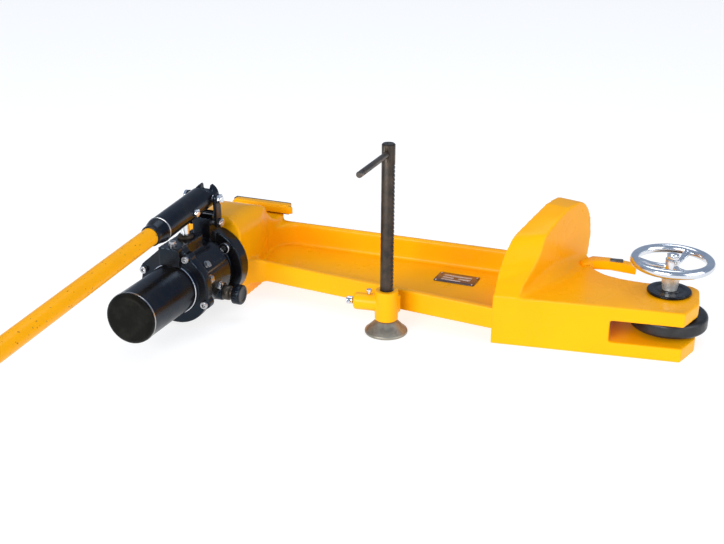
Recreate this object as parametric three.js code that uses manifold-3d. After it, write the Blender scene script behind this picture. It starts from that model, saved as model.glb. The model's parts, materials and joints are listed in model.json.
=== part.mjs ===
// Manual hydraulic rail and bar bender: a bowed steel frame with a hand pump and ram
// at one end, a fulcrum fin in the middle and an eccentric roller at the other end.
// Millimetres, +Z up. The origin is on the floor under the middle of the centre block,
// +X runs along the centre block towards the roller and +Y is the side the bar lies on.

import * as THREE from 'three';
import { mergeVertices } from 'three/addons/utils/BufferGeometryUtils.js';
import Module from 'manifold-3d';

const wasm = await Module();
wasm.setup();

// ---- driving dimensions -------------------------------------------------------

const gap = 0.3;             // clearance left between pieces that touch
const run = 0.15;            // radial clearance of a running fit
const pistonFit = 0.6;       // radial clearance of the piston and its seal

const block = { left: -113, right: 110, front: -100, back: 158, height: 100 };
const fork = { plate: 28, end: 244, rollerX: 215, boreR: 24 };
const restBar = { below: 12, above: 6 };   // the rail rest's foot and top, from the block's top
const roller = { r: 74, width: 30, z: 36, edge: 8, offsetX: 4, offsetY: -7, bore: 27 };
const shaft = { foot: 3, journalR: 19, throwR: 24, stemR: 10 };
const clip = { grooveR: 16, outerR: 22.5, z: 4.6, t: 2.8 };
const bush = { foot: 8, upperFoot: 72 };
const wheel = { r: 71, rim: 9, z: 165, hubR: 13.5, hubTop: 173 };
const disc = { r: 42.5, t: 6 };

const web = { z: 36, t: 14 };
const frontFlange = { z: 29, h: 44, t: 16, leftX: -634, leftY: 30.2, rightY: -98 };
const rearFlange = { z: 8, h: 92, t: 16, leftX: -645, leftY: 209, rightY: 143.5 };

const fin = { turn: 24, thick: 52, footX: -69, footY: -105, length: 292 };
fin.crest = 196;             // where the nose ends and the level top begins
fin.noseTop = 120;           // height at which the leaning nose meets the top

const leg = { x: -321, y: -98, r: 13, top: 386, toothPitch: 8, toothDepth: 3.2, stemFoot: 9 };
const collar = { r: 23, z: 28, h: 62 };
const foot = { r: 42.5, topR: 22, h: 27 };
const lug = { half: 15, from: 10, to: 60, z0: 34, z1: 70 };
const latch = { z: 61, r: 17, length: 42, bore: 9, mouth: 5.2 };
const pin = { r: 8.6, stemR: 4.8, pullR: 8, head: 26, wing: 14 };
const sleeveScrew = { r: 3, across: 10, back: 12 };
const crank = { r: 6, z: 367, front: 150, back: 20 };

const pumpTurn = 8;          // the pump and ram axis, in degrees from +Y towards +X
const pump = { x: -711, y: -5.5, z: 82 };   // middle of the press head's front face
const reservoir = { r: 50, wall: 4, front: -338, back: -176, cap: 15 };
const flangeRing = { r: 79, back: -8 };
const lever = { slope: 4.4, pivotS: -38, pivotUp: 149, tubeR: 17.5, tubeWall: 3.5 };
lever.free = 870;            // length of the lever ahead of its pivot
const socket = { r: 25, rear: -26, neck: 178, end: 207, tubeFrom: 104, slotHalf: 10.5 };
const plunger = { r: 9, foot: 26, ahead: 78, pinR: 6 };   // ahead: its pin from the lever pivot
const link = { footS: -36, footUp: 98, inner: 27.3, t: 7, r: 11 };

const head = { half: 62, tail: 34, depth: 242, top: 95, rearTop: 31, boreEnd: 150 };
const ram = { barrelR: 46, boreR: 36, rodR: 20, pistonFrom: 6, pistonLong: 30 };

// ---- materials ----------------------------------------------------------------

function paint(color, roughness, metalness) {
  return new THREE.MeshStandardMaterial({ color, roughness, metalness });
}

const yellow = () => paint(0xf7b500, 0.32, 0.0);
const black = () => paint(0x15161a, 0.25, 0.1);
const darkSteel = () => paint(0x2a2522, 0.45, 0.7);
const chrome = () => paint(0xc9ccd0, 0.12, 1.0);
const steel = () => paint(0x9a9ca0, 0.3, 0.9);
const bronze = () => paint(0xa9793a, 0.4, 0.8);
const rubber = () => paint(0x1c1c1c, 0.8, 0.0);

// ---- solids -------------------------------------------------------------------

function solid(geometry) {
  const bare = geometry.clone();
  bare.deleteAttribute('normal');
  bare.deleteAttribute('uv');
  const merged = mergeVertices(bare, 1e-3);
  const kept = [];
  for (let i = 0; i < merged.index.count; i += 3) {
    const [a, b, c] = [0, 1, 2].map((k) => merged.index.getX(i + k));
    if (a !== b && b !== c && c !== a) kept.push(a, b, c);
  }
  return new wasm.Manifold(new wasm.Mesh({
    numProp: 3,
    vertProperties: merged.attributes.position.array,
    triVerts: new Uint32Array(kept),
  }));
}

function surface(body) {
  const m = body.getMesh();
  const geometry = new THREE.BufferGeometry();
  geometry.setAttribute('position', new THREE.BufferAttribute(m.vertProperties, 3));
  geometry.setIndex(new THREE.BufferAttribute(m.triVerts, 1));
  geometry.computeVertexNormals();
  return geometry;
}

// A round bar from z0 to z1, or a cone where the second radius differs.
function round(r, z0, z1, segments = 24, rTop = r) {
  const g = new THREE.CylinderGeometry(rTop, r, z1 - z0, segments);
  g.rotateX(Math.PI / 2);
  g.translate(0, 0, (z0 + z1) / 2);
  return g;
}

function box(x0, x1, y0, y1, z0, z1) {
  const g = new THREE.BoxGeometry(x1 - x0, y1 - y0, z1 - z0);
  g.translate((x0 + x1) / 2, (y0 + y1) / 2, (z0 + z1) / 2);
  return g;
}

// A flat outline in X and Y, raised from z0 to z1.
function slab(shape, z0, z1, curveSegments = 10) {
  const g = new THREE.ExtrudeGeometry(shape, {
    depth: z1 - z0, bevelEnabled: false, curveSegments,
  });
  g.translate(0, 0, z0);
  return g;
}

// The closed profile of a plain ring between two radii and two heights.
function ringProfile(r0, r1, z0, z1) {
  return [[r0, z0], [r1, z0], [r1, z1], [r0, z1], [r0, z0]];
}

function outline(points) {
  return new THREE.Shape(points.map(([x, y]) => new THREE.Vector2(x, y)));
}

// A profile of [radius, height] points turned about Z.
function turned(points, segments = 28) {
  const g = new THREE.LatheGeometry(points.map(([r, z]) => new THREE.Vector2(r, z)), segments);
  g.rotateX(Math.PI / 2);
  return g;
}

function hexHead(across, z0, z1) {
  const g = new THREE.CylinderGeometry(across / Math.sqrt(3), across / Math.sqrt(3), z1 - z0, 6);
  g.rotateX(Math.PI / 2);
  g.translate(0, 0, (z0 + z1) / 2);
  return g;
}

// Turn a solid that stands along +Z so that it points along +Y or +X.
const alongY = (g) => g.rotateX(-Math.PI / 2);
const alongX = (g) => g.rotateY(Math.PI / 2);

const joined = (...parts) => parts.map(solid).reduce((a, b) => a.add(b));
const cut = (base, ...tools) => tools.reduce((a, t) => a.subtract(solid(t)), base);

const machine = new THREE.Group();

function place(parent, name, shape, material) {
  const geometry = shape.isBufferGeometry ? surface(solid(shape)) : surface(shape);
  const mesh = new THREE.Mesh(geometry, material);
  mesh.name = name;
  parent.add(mesh);
  return mesh;
}

const radians = THREE.MathUtils.degToRad;
const at = (g, x, y, z) => g.translate(x, y, z);

// ---- beam: web and two flanges --------------------------------------------------

const beamRight = block.left - gap;

function lineY(flange, x) {
  const share = (x - beamRight) / (flange.leftX - beamRight);
  return flange.rightY + share * (flange.leftY - flange.rightY);
}

// A flange runs from the centre block to the press head between its two faces.
function flangePlate(flange, side) {
  const { leftX } = flange;
  const nearL = lineY(flange, leftX);
  const nearR = lineY(flange, beamRight);
  const shape = outline([
    [leftX, nearL], [beamRight, nearR], [beamRight, nearR + side * flange.t],
    [leftX, nearL + side * flange.t],
  ]);
  return solid(slab(shape, flange.z, flange.z + flange.h));
}

// The press head's plan, wider at the pump than at its tail, grown by a margin.
function headPlan(margin) {
  const half = head.half + margin;
  const tail = head.tail + margin;
  return outline([
    [-half, -margin], [half, -margin], [half, 90], [tail, 150], [tail, head.depth + margin],
    [-tail, head.depth + margin], [-tail, 150], [-half, 90],
  ]);
}

function headKeepOut() {
  return solid(slab(headPlan(gap), -100, 200)).rotate([0, 0, -pumpTurn])
    .translate([pump.x, pump.y, pump.z]);
}

function makeBeam() {
  place(machine, 'front_flange', flangePlate(frontFlange, 1).subtract(headKeepOut()), yellow());
  place(machine, 'rear_flange', flangePlate(rearFlange, 1).subtract(headKeepOut()), yellow());
  const inset = frontFlange.t + gap;
  const shape = outline([
    [frontFlange.leftX, lineY(frontFlange, frontFlange.leftX) + inset],
    [beamRight, lineY(frontFlange, beamRight) + inset],
    [beamRight, lineY(rearFlange, beamRight) - gap],
    [rearFlange.leftX, lineY(rearFlange, rearFlange.leftX) - gap],
  ]);
  const sheet = solid(slab(shape, web.z, web.z + web.t)).subtract(headKeepOut());
  place(machine, 'beam_web', sheet, yellow());
}

// ---- centre block, fork plates and fulcrum fin ----------------------------------

// The rear edge of the fork plates is hollowed so that the bar clears them.
function forkOutline(left) {
  const s = new THREE.Shape();
  s.moveTo(left, block.front);
  s.lineTo(fork.end, block.front);
  s.lineTo(fork.end + 27, -42);
  s.lineTo(fork.end + 29, 12);
  s.absarc(fork.rollerX + 30, 20, 28, 0, Math.PI / 2, false);
  s.lineTo(fork.rollerX - 40, 42);
  s.quadraticCurveTo(block.right + 22, 46, left, left < 0 ? block.back : 57);
  s.lineTo(left, block.front);
  return s;
}

function coreOutline() {
  const s = new THREE.Shape();
  s.moveTo(block.left, block.front);
  s.lineTo(block.right, block.front);
  s.lineTo(block.right, 57);
  s.quadraticCurveTo(62, 74, 40, block.back);
  s.lineTo(block.left, block.back);
  return s;
}

function makeFork() {
  const { plate } = fork;
  place(machine, 'centre_block', slab(coreOutline(), 0, block.height), yellow());
  const shape = forkOutline(block.right + gap);
  const shaftHole = at(round(fork.boreR, -1, block.height + 1, 28), fork.rollerX, 0, 0);
  const top = block.height;
  place(machine, 'upper_fork_plate', cut(solid(slab(shape, top - plate, top)), shaftHole), yellow());
  place(machine, 'lower_fork_plate', cut(solid(slab(shape, 0, plate)), shaftHole), yellow());
}

// The fin's outline runs along the fin (from front to back) and up from the block.
function finOutline() {
  const s = new THREE.Shape();
  s.moveTo(10, 0);
  s.quadraticCurveTo(14, 40, 48, 78);
  s.quadraticCurveTo(62, 94, 84, 100);
  s.lineTo(196, 130);
  s.lineTo(236, 131);
  s.bezierCurveTo(268, 130, 296, 100, 301, 56);
  s.quadraticCurveTo(303, 20, fin.length, 0);
  return s;
}

// How far the fin's right side falls behind its left side, so that the nose faces forwards.
function noseLean(along, up) {
  const share = up / fin.noseTop;
  return along < fin.crest && share < 1 ? fin.thick * Math.sin(Math.PI * share ** 1.15) : 0;
}

// A prism along X between two rings of points in Y and Z, with the same number of points.
function prism(ring0, ring1, x0, x1) {
  const count = ring0.length;
  const positions = [...ring0.map((p) => [x0, p.x, p.y]), ...ring1.map((p) => [x1, p.x, p.y])];
  const index = [];
  for (const [i, j, k] of THREE.ShapeUtils.triangulateShape(ring0, [])) index.push(i, k, j);
  for (const [i, j, k] of THREE.ShapeUtils.triangulateShape(ring1, [])) {
    index.push(count + i, count + j, count + k);
  }
  for (let i = 0; i < count; i += 1) {
    const j = (i + 1) % count;
    index.push(i, j, count + j, i, count + j, count + i);
  }
  const g = new THREE.BufferGeometry();
  g.setAttribute('position', new THREE.Float32BufferAttribute(positions.flat(), 3));
  g.setIndex(index);
  return g;
}

function makeFin() {
  const left = finOutline().extractPoints(10).shape.reverse();
  const right = left.map((p) => new THREE.Vector2(p.x + noseLean(p.x, p.y), p.y));
  const body = solid(prism(left, right, -fin.thick, 0)).rotate([0, 0, -fin.turn])
    .translate([fin.footX, fin.footY, block.height + gap]);
  place(machine, 'fulcrum_fin', body, yellow());
}

// A short bar on the rear of the block carries the bar being bent beside the roller.
function makeRailRest() {
  const arm = outline([[38, 114], [62, 146], [96, 146], [152, 128], [150, 108], [98, 122],
    [66, 118], [46, 96]]);
  const blank = solid(slab(arm, block.height - restBar.below, block.height + restBar.above));
  // The block is cut out grown by the gap, so that the rest only touches it.
  const rest = [[gap, 0, 0], [0, gap, 0], [gap, gap, 0], [0, 0, gap]].reduce(
    (body, shift) => body.subtract(solid(slab(coreOutline(), 0, block.height)).translate(shift)),
    blank);
  place(machine, 'rail_rest', rest, yellow());
}

// ---- leg, its collar and latch ---------------------------------------------------

function makeLegHolder() {
  const { x, y } = leg;
  const top = collar.z + collar.h;
  // A lug on the back of the collar is welded to the front flange.
  const flangeTurn = Math.atan2(lineY(frontFlange, x + 1) - lineY(frontFlange, x), 1);
  const rib = box(-lug.half, lug.half, lug.from, lug.to, lug.z0, lug.z1);
  rib.rotateZ(flangeTurn);
  rib.translate(x, y, 0);
  const reach = outline([
    [x - 60, y - 60], [x + 60, y - 60], [x + 60, lineY(frontFlange, x + 60) - gap],
    [x - 60, lineY(frontFlange, x - 60) - gap],
  ]);
  const body = joined(at(round(collar.r, collar.z, top, 28), x, y, 0), rib)
    .intersect(solid(slab(reach, 0, 200)));
  const crossHole = alongX(round(latch.bore, -60, 0, 20));
  const screwHole = alongX(round(sleeveScrew.r, 0, 40, 12));
  const shaped = cut(body, at(round(leg.r + 0.6, 0, 200, 24), x, y, 0),
    at(crossHole, x, y, latch.z), at(screwHole, x, y, latch.z));
  place(machine, 'leg_collar', shaped, yellow());

  const from = -collar.r - latch.length;
  const sleeve = alongX(round(latch.r, from, -collar.r + 8, 24));
  const bore = alongX(round(latch.bore, from + 6, 20, 20));
  const mouth = alongX(round(latch.mouth, from - 1, from + 7, 16));
  const shell = cut(solid(sleeve), bore, mouth).translate([x, y, latch.z])
    .subtract(solid(at(round(collar.r + gap, 0, 200, 28), x, y, 0)));
  place(machine, 'latch_sleeve', shell, yellow());

  const seat = latch.z + latch.r;
  const screw = joined(round(sleeveScrew.r, seat + gap, seat + 8, 16),
    hexHead(sleeveScrew.across, seat + 4, seat + 10));
  place(machine, 'sleeve_screw', screw.translate([x - collar.r - sleeveScrew.back, y, 0]), chrome());
}

function makeLatch() {
  const { x, y } = leg;
  const from = -collar.r - latch.length;
  // The pin's outer end is a winged pull.
  const wing = new THREE.Shape();
  wing.ellipse(0, 0, 4.2, pin.wing, 0, Math.PI * 2);
  const wings = slab(wing, -3.2, 3.2, 8);
  wings.rotateX(Math.PI / 2);
  wings.translate(from - 9, 0, 0);
  const headAt = from + pin.head;
  const bolt = joined(alongX(round(pin.r, headAt, -leg.r - 1.2, 24)),
    alongX(round(pin.stemR, from - 16, headAt + 1, 16)),
    alongX(round(pin.pullR, from - 15, from - 2, 20)), wings);
  place(machine, 'latch_pin', bolt.translate([x, y, latch.z]), chrome());
  place(machine, 'latch_spring', coil(6.7, 1.1, from + 7, headAt - 1, 5)
    .translate([x, y, latch.z]), darkSteel());
}

// A helical spring of round wire along X.
function coil(r, wire, x0, x1, turns) {
  class Helix extends THREE.Curve {
    getPoint(t, target = new THREE.Vector3()) {
      const angle = t * turns * Math.PI * 2;
      const x = x0 + wire + t * (x1 - x0 - 2 * wire);
      return target.set(x, r * Math.cos(angle), r * Math.sin(angle));
    }
  }
  const section = new THREE.Shape();
  section.absarc(0, 0, wire, 0, Math.PI * 2, false);
  return solid(new THREE.ExtrudeGeometry(section, {
    steps: turns * 8, extrudePath: new Helix(), curveSegments: 2,
  }));
}

function makeLeg() {
  const { x, y } = leg;
  const { toothPitch: pitch, toothDepth: depth } = leg;
  const rack = new THREE.Shape();
  const low = foot.h + 8;
  const count = Math.floor((crank.z - 18 - low) / pitch);
  const root = leg.r - depth;
  rack.moveTo(leg.r + 3, low);
  for (let i = 0; i < count; i += 1) {
    const z = low + i * pitch;
    rack.lineTo(leg.r - 0.4, z + pitch * 0.12);
    rack.lineTo(root, z + pitch * 0.3);
    rack.lineTo(root, z + pitch * 0.62);
    rack.lineTo(leg.r - 0.4, z + pitch * 0.88);
  }
  rack.lineTo(leg.r + 3, low + count * pitch);
  rack.lineTo(leg.r + 3, low);
  const teeth = slab(rack, -20, 20);
  teeth.rotateX(Math.PI / 2);
  const bar = joined(round(leg.r, foot.h + gap, leg.top - 2, 20),
    round(leg.r, leg.top - 2 - 0.01, leg.top, 20, leg.r - 2),
    round(leg.stemFoot, 5, foot.h + gap + 0.01, 24));
  const hole = alongY(round(crank.r + gap, -30, 30, 20));
  hole.translate(0, 0, crank.z);
  hole.rotateZ(radians(-pumpTurn));
  const rod = cut(bar, teeth, hole);
  place(machine, 'leg_rack_rod', rod.translate([x, y, 0]), darkSteel());

  const handle = alongY(round(crank.r, -crank.front, crank.back, 20));
  handle.translate(0, 0, crank.z);
  handle.rotateZ(radians(-pumpTurn));
  place(machine, 'leg_crank_bar', handle.translate(x, y, 0), darkSteel());

  const pad = turned([
    [0, 0], [foot.r - 2, 0], [foot.r, 2], [foot.r, 6], [foot.r - 3, 8], [foot.topR, foot.h - 2],
    [foot.topR - 2, foot.h], [leg.stemFoot + gap, foot.h], [leg.stemFoot + gap, 4.4], [0, 4.4],
  ], 32);
  place(machine, 'leg_foot', pad.translate(x, y, 0), darkSteel());
}

// ---- eccentric roller and handwheel ----------------------------------------------

function makeRollerEnd() {
  const x = fork.rollerX;
  const { offsetX: ex, offsetY: ey, z: rz } = roller;
  const { journalR, throwR, stemR } = shaft;
  const plateTop = block.height;
  const bushR = fork.boreR - gap;

  const bushes = [['lower_bush', bush.foot, fork.plate], ['upper_bush', bush.upperFoot, plateTop]];
  for (const [name, z0, z1] of bushes) {
    place(machine, name, turned(ringProfile(journalR + run, bushR, z0, z1), 28).translate(x, 0, 0),
      bronze());
  }

  // The shaft turns in both bushes, and its thick middle is set off to one side.
  const throwFoot = fork.plate + gap;
  const throwTop = bush.upperFoot - gap;
  const eccentric = at(round(throwR, throwFoot, throwTop, 28), ex, ey, 0);
  const bar = joined(round(journalR, shaft.foot, throwFoot + 0.01, 28), eccentric,
    round(journalR, throwTop - 0.01, plateTop + 1, 28),
    round(stemR, plateTop + 0.99, wheel.hubTop, 20));
  const groove = solid(turned(ringProfile(clip.grooveR, journalR + 1, clip.z, clip.z + clip.t), 20));
  place(machine, 'eccentric_shaft', bar.subtract(groove).translate([x, 0, 0]), steel());
  const snap = ringProfile(clip.grooveR + run, clip.outerR, clip.z + gap, clip.z + clip.t - gap);
  place(machine, 'shaft_clip', turned(snap, 20).translate(x, 0, 0), darkSteel());

  const bushTop = rz + roller.width;
  const liner = ringProfile(throwR + run, roller.bore - gap, rz, bushTop);
  place(machine, 'roller_bush', turned(liner, 28).translate(x + ex, ey, 0), bronze());

  const profile = [[roller.bore, rz]];
  for (const [cz, start] of [[rz + roller.edge, -90], [bushTop - roller.edge, 0]]) {
    for (let k = 0; k <= 4; k += 1) {
      const a = radians(start + k * 22.5);
      profile.push([roller.r - roller.edge + roller.edge * Math.cos(a),
        cz + roller.edge * Math.sin(a)]);
    }
  }
  profile.push([roller.bore, bushTop], [roller.bore, rz]);
  place(machine, 'bending_roller', turned(profile, 36).translate(x + ex, ey, 0), black());

  const low = plateTop + 1 + gap;
  const high = plateTop + 1 + disc.t;
  const shield = [[stemR + gap, low], [disc.r - 1, low], [disc.r, low + 1], [disc.r, high - 1],
    [disc.r - 1, high], [stemR + gap, high], [stemR + gap, low]];
  place(machine, 'dust_disc', turned(shield, 32).translate(x, 0, 0), black());

  makeHandwheel(x, high + gap);
}

function makeHandwheel(x, hubFoot) {
  const rim = new THREE.TorusGeometry(wheel.r, wheel.rim, 10, 36);
  rim.translate(0, 0, wheel.z);
  const hub = turned([[0, hubFoot], [14.5, hubFoot], [19.5, 139], [19.5, 143],
    [wheel.hubR, 147], [wheel.hubR, wheel.hubTop - 2], [0, wheel.hubTop - 2], [0, hubFoot]], 24);
  const spokes = [0, 1, 2].map((k) => {
    const curve = new THREE.CatmullRomCurve3([
      new THREE.Vector3(8, 0, wheel.z - 8), new THREE.Vector3(24, 0, wheel.z - 9),
      new THREE.Vector3(48, 0, wheel.z - 4), new THREE.Vector3(wheel.r - 2, 0, wheel.z),
    ]);
    const section = new THREE.Shape();
    section.ellipse(0, 0, 4, 6.5, 0, Math.PI * 2);
    const spoke = new THREE.ExtrudeGeometry(section, {
      steps: 4, extrudePath: curve, curveSegments: 3,
    });
    return spoke.rotateZ(radians(64 + k * 120));
  });
  const stem = shaft.stemR + gap;
  const body = cut(joined(rim, hub, ...spokes), round(stem, 0, 300, 20));
  place(machine, 'handwheel', body.translate([x, 0, 0]), chrome());
  const nut = joined(hexHead(22, wheel.hubTop - 2 + gap, wheel.hubTop + 6),
    turned([[0, wheel.hubTop + 5], [9, wheel.hubTop + 5], [6, wheel.hubTop + 8],
      [0, wheel.hubTop + 9], [0, wheel.hubTop + 5]], 16));
  const seat = round(stem, 100, wheel.hubTop + gap, 20);
  place(machine, 'wheel_nut', cut(nut, seat).translate([x, 0, 0]), chrome());
}

// ---- press head, ram and pump, all laid out along the pump axis -------------------

const press = new THREE.Group();
press.position.set(pump.x, pump.y, pump.z);
press.rotation.z = radians(-pumpTurn);
machine.add(press);

function makePressHead() {
  const { half, depth, top, rearTop } = head;
  const floor = -pump.z;
  const side = outline([[0, floor], [depth, floor], [depth, rearTop], [204, rearTop + 1],
    [178, 46], [142, 76], [118, 89], [92, top], [4, top], [0, top - 4]]);
  const sidePlate = slab(side, -half - 1, half + 1);
  sidePlate.rotateX(Math.PI / 2);
  sidePlate.rotateZ(Math.PI / 2);
  const front = new THREE.Shape();
  front.moveTo(-half, floor);
  front.lineTo(half, floor);
  front.lineTo(half, 52);
  front.quadraticCurveTo(half, top, 16, top);
  front.lineTo(-16, top);
  front.quadraticCurveTo(-half, top, -half, 52);
  const frontPlate = slab(front, -depth - 1, 1, 8);
  frontPlate.rotateX(Math.PI / 2);
  const body = solid(sidePlate).intersect(solid(frontPlate))
    .intersect(solid(slab(headPlan(0), floor - 1, top + 1)));
  const shaped = cut(body, alongY(round(ram.barrelR, -1, head.boreEnd, 32)),
    alongY(round(ram.rodR + run, -1, depth + 1, 24)));
  place(press, 'press_head', shaped, yellow());
}

function makeRam() {
  const { barrelR, boreR, rodR, pistonFrom, pistonLong } = ram;
  const outer = barrelR - gap;
  const end = head.boreEnd - gap;
  const gland = end - 14;
  place(press, 'ram_barrel', alongY(turned(ringProfile(boreR, outer, gap, end), 32)), steel());
  const guide = ringProfile(rodR + run, boreR - gap, gland, end);
  place(press, 'ram_gland', alongY(turned(guide, 24)), bronze());

  const sealAt = pistonFrom + 12;
  const piston = joined(round(boreR - pistonFit, pistonFrom, pistonFrom + pistonLong, 28),
    round(rodR, pistonFrom + pistonLong - 1, head.depth + gap, 24));
  const seat = cut(solid(round(boreR + 1, sealAt, sealAt + 7, 28)),
    round(boreR - 5, sealAt - 1, sealAt + 8, 28));
  place(press, 'ram_piston', piston.subtract(seat).rotate([-90, 0, 0]), steel());
  const ring = ringProfile(boreR - 5 + gap, boreR - pistonFit, sealAt + gap, sealAt + 7 - gap);
  place(press, 'piston_seal', alongY(turned(ring, 28)), rubber());

  const spring = coil(27, 2.6, pistonFrom + pistonLong + gap, gland - gap, 5);
  place(press, 'return_spring', spring.rotate([0, 0, 90]), darkSteel());

  // The shoe is a tee: its cross bar stands above the head and bears on the rail.
  const face = head.depth + 2 * gap;
  const shoe = joined(box(-38, 38, face, face + 16, -36, 30), box(-80, 58, face, face + 16, 28, 52));
  place(press, 'ram_shoe', shoe, darkSteel());
  const guard = outline([[-78, face - 12], [64, face - 12], [71, face - 6], [66, face - gap],
    [-78, face - gap]]);
  place(press, 'shoe_guard', slab(guard, 34, 49), yellow());
}

function makeReservoir() {
  const { r, wall, front, back } = reservoir;
  const rim = front + reservoir.cap;
  const tube = [[r - wall, rim], [r - 1, rim], [r, rim + 1], [r, back], [r - wall, back],
    [r - wall, rim]];
  place(press, 'reservoir_tube', alongY(turned(tube, 36)), black());
  const cap = [[0, front]];
  for (let k = 0; k <= 3; k += 1) {
    const a = radians(-90 + k * 30);
    cap.push([r - 12 + 12 * Math.cos(a), front + 12 + 12 * Math.sin(a)]);
  }
  cap.push([r, rim - gap], [0, rim - gap]);
  place(press, 'reservoir_cap', alongY(turned(cap, 32)), black());
  const seal = ringProfile(r - wall, r + 2.5, back + gap, back + 7 - gap);
  place(press, 'reservoir_ring', alongY(turned(seal, 32)), chrome());
}

const pumpFlange = { front: -169, back: -148, r: 78, boltR: 72, bolts: [65, -20, 155, 245] };
const pumpBodyR = 66;
const oilBlock = { half: 22, front: -184, back: -84, foot: 54, top: 88 };
const mouth = { r: 40, depth: 60 };   // the pump body is open towards the reservoir
const valve = { s: -88, up: -30, bossR: 17, seat: 68, r: 15, knobR: 21, knobFrom: 90, knobTo: 109 };
const mountRing = { front: -32, r: 79, boltR: 66 };

function polar(r, degrees) {
  return [r * Math.cos(radians(degrees)), r * Math.sin(radians(degrees))];
}

function makePumpBody() {
  const { front, back, r, boltR, bolts } = pumpFlange;
  const earR = 11;
  const ears = bolts.map((angle) => {
    const [ex, ez] = polar(boltR - 1, angle);
    return alongY(round(earR, front, back, 14)).translate(ex, 0, ez);
  });
  const { half, foot: blockFoot, top: blockTop } = oilBlock;
  const oil = box(-half, half, oilBlock.front, oilBlock.back, blockFoot, blockTop);
  const lugBlock = box(-20, 20, link.footS - 16, link.footS + 14, 50, link.footUp + 12);
  const boss = alongX(round(valve.bossR, 40, valve.seat, 20)).translate(0, valve.s, valve.up);
  const lugEye = alongX(round(7 + gap, -30, 30, 16)).translate(0, link.footS, link.footUp);
  const body = joined(alongY(round(r - 3, front, back, 36)), ...ears,
    alongY(round(pumpBodyR, back - 1, mountRing.front - 16, 32)),
    alongY(round(pumpBodyR - 13, mountRing.front - 17, mountRing.front + 1, 28)),
    alongY(round(mountRing.r, mountRing.front, -gap, 36)), oil, lugBlock, boss);
  const plungerBore = round(plunger.r + run, 20, 200, 20).translate(0, plungerY(), 0);
  const open = alongY(round(mouth.r, front - 1, front + mouth.depth, 24));
  const shaped = cut(body, open, lugEye, plungerBore);
  place(press, 'pump_body', shaped, black());

  bolts.forEach((angle, i) => {
    const [bx, bz] = polar(boltR, angle);
    const bolt = alongY(round(7.5, front - 8, front - gap, 16)).translate(bx, 0, bz);
    place(press, `reservoir_bolt_${i + 1}`, bolt, steel());
  });
  [45, 135, 225, 315].forEach((angle, i) => {
    const [bx, bz] = polar(mountRing.boltR, angle);
    const screw = alongY(round(11, mountRing.front - 14, mountRing.front - gap, 20));
    place(press, `mount_screw_${i + 1}`, screw.translate(bx, 0, bz), black());
  });
}

function plungerY() {
  return lever.pivotS - plunger.ahead * Math.cos(radians(lever.slope));
}

function makePumpFittings() {
  [[-126, 38], [-136, 14], [-104, -8]].forEach(([y, angle], i) => {
    const plug = alongX(hexHead(13, pumpBodyR + gap, pumpBodyR + 6));
    plug.rotateY(radians(-angle));
    place(press, `check_valve_plug_${i + 1}`, plug.translate(0, y, 0), black());
  });
  const { top } = oilBlock;
  const filler = joined(round(8, top + gap, top + 4, 20), hexHead(12, top + 3, top + 10));
  place(press, 'filler_plug', filler.translate([0, -166, 0]), steel());

  const { seat, knobFrom } = valve;
  const stem = turned([[0, seat + gap], [valve.r, seat + gap], [valve.r, seat + 14],
    [valve.r - 4, seat + 16], [valve.r - 4, knobFrom], [0, knobFrom], [0, seat + gap]], 28);
  place(press, 'release_valve', alongX(stem).translate(0, valve.s, valve.up), darkSteel());
  const knob = new THREE.Shape();
  const lobes = 10;
  for (let k = 0; k <= lobes * 3; k += 1) {
    const a = (k / (lobes * 3)) * Math.PI * 2;
    const r = valve.knobR + 1.1 * Math.cos(a * lobes);
    const [px, py] = [r * Math.cos(a), r * Math.sin(a)];
    if (k === 0) knob.moveTo(px, py);
    else knob.lineTo(px, py);
  }
  const grip = alongX(slab(knob, knobFrom + gap, valve.knobTo)).translate(0, valve.s, valve.up);
  place(press, 'release_knob', grip, black());

  const bore = plunger.r + run;
  const gland = [[bore, top + gap], [16, top + gap], [16, top + 5], [13, top + 8], [bore, top + 8],
    [bore, top + gap]];
  place(press, 'plunger_gland', turned(gland, 28).translate(0, plungerY(), 0), darkSteel());
}

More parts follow.
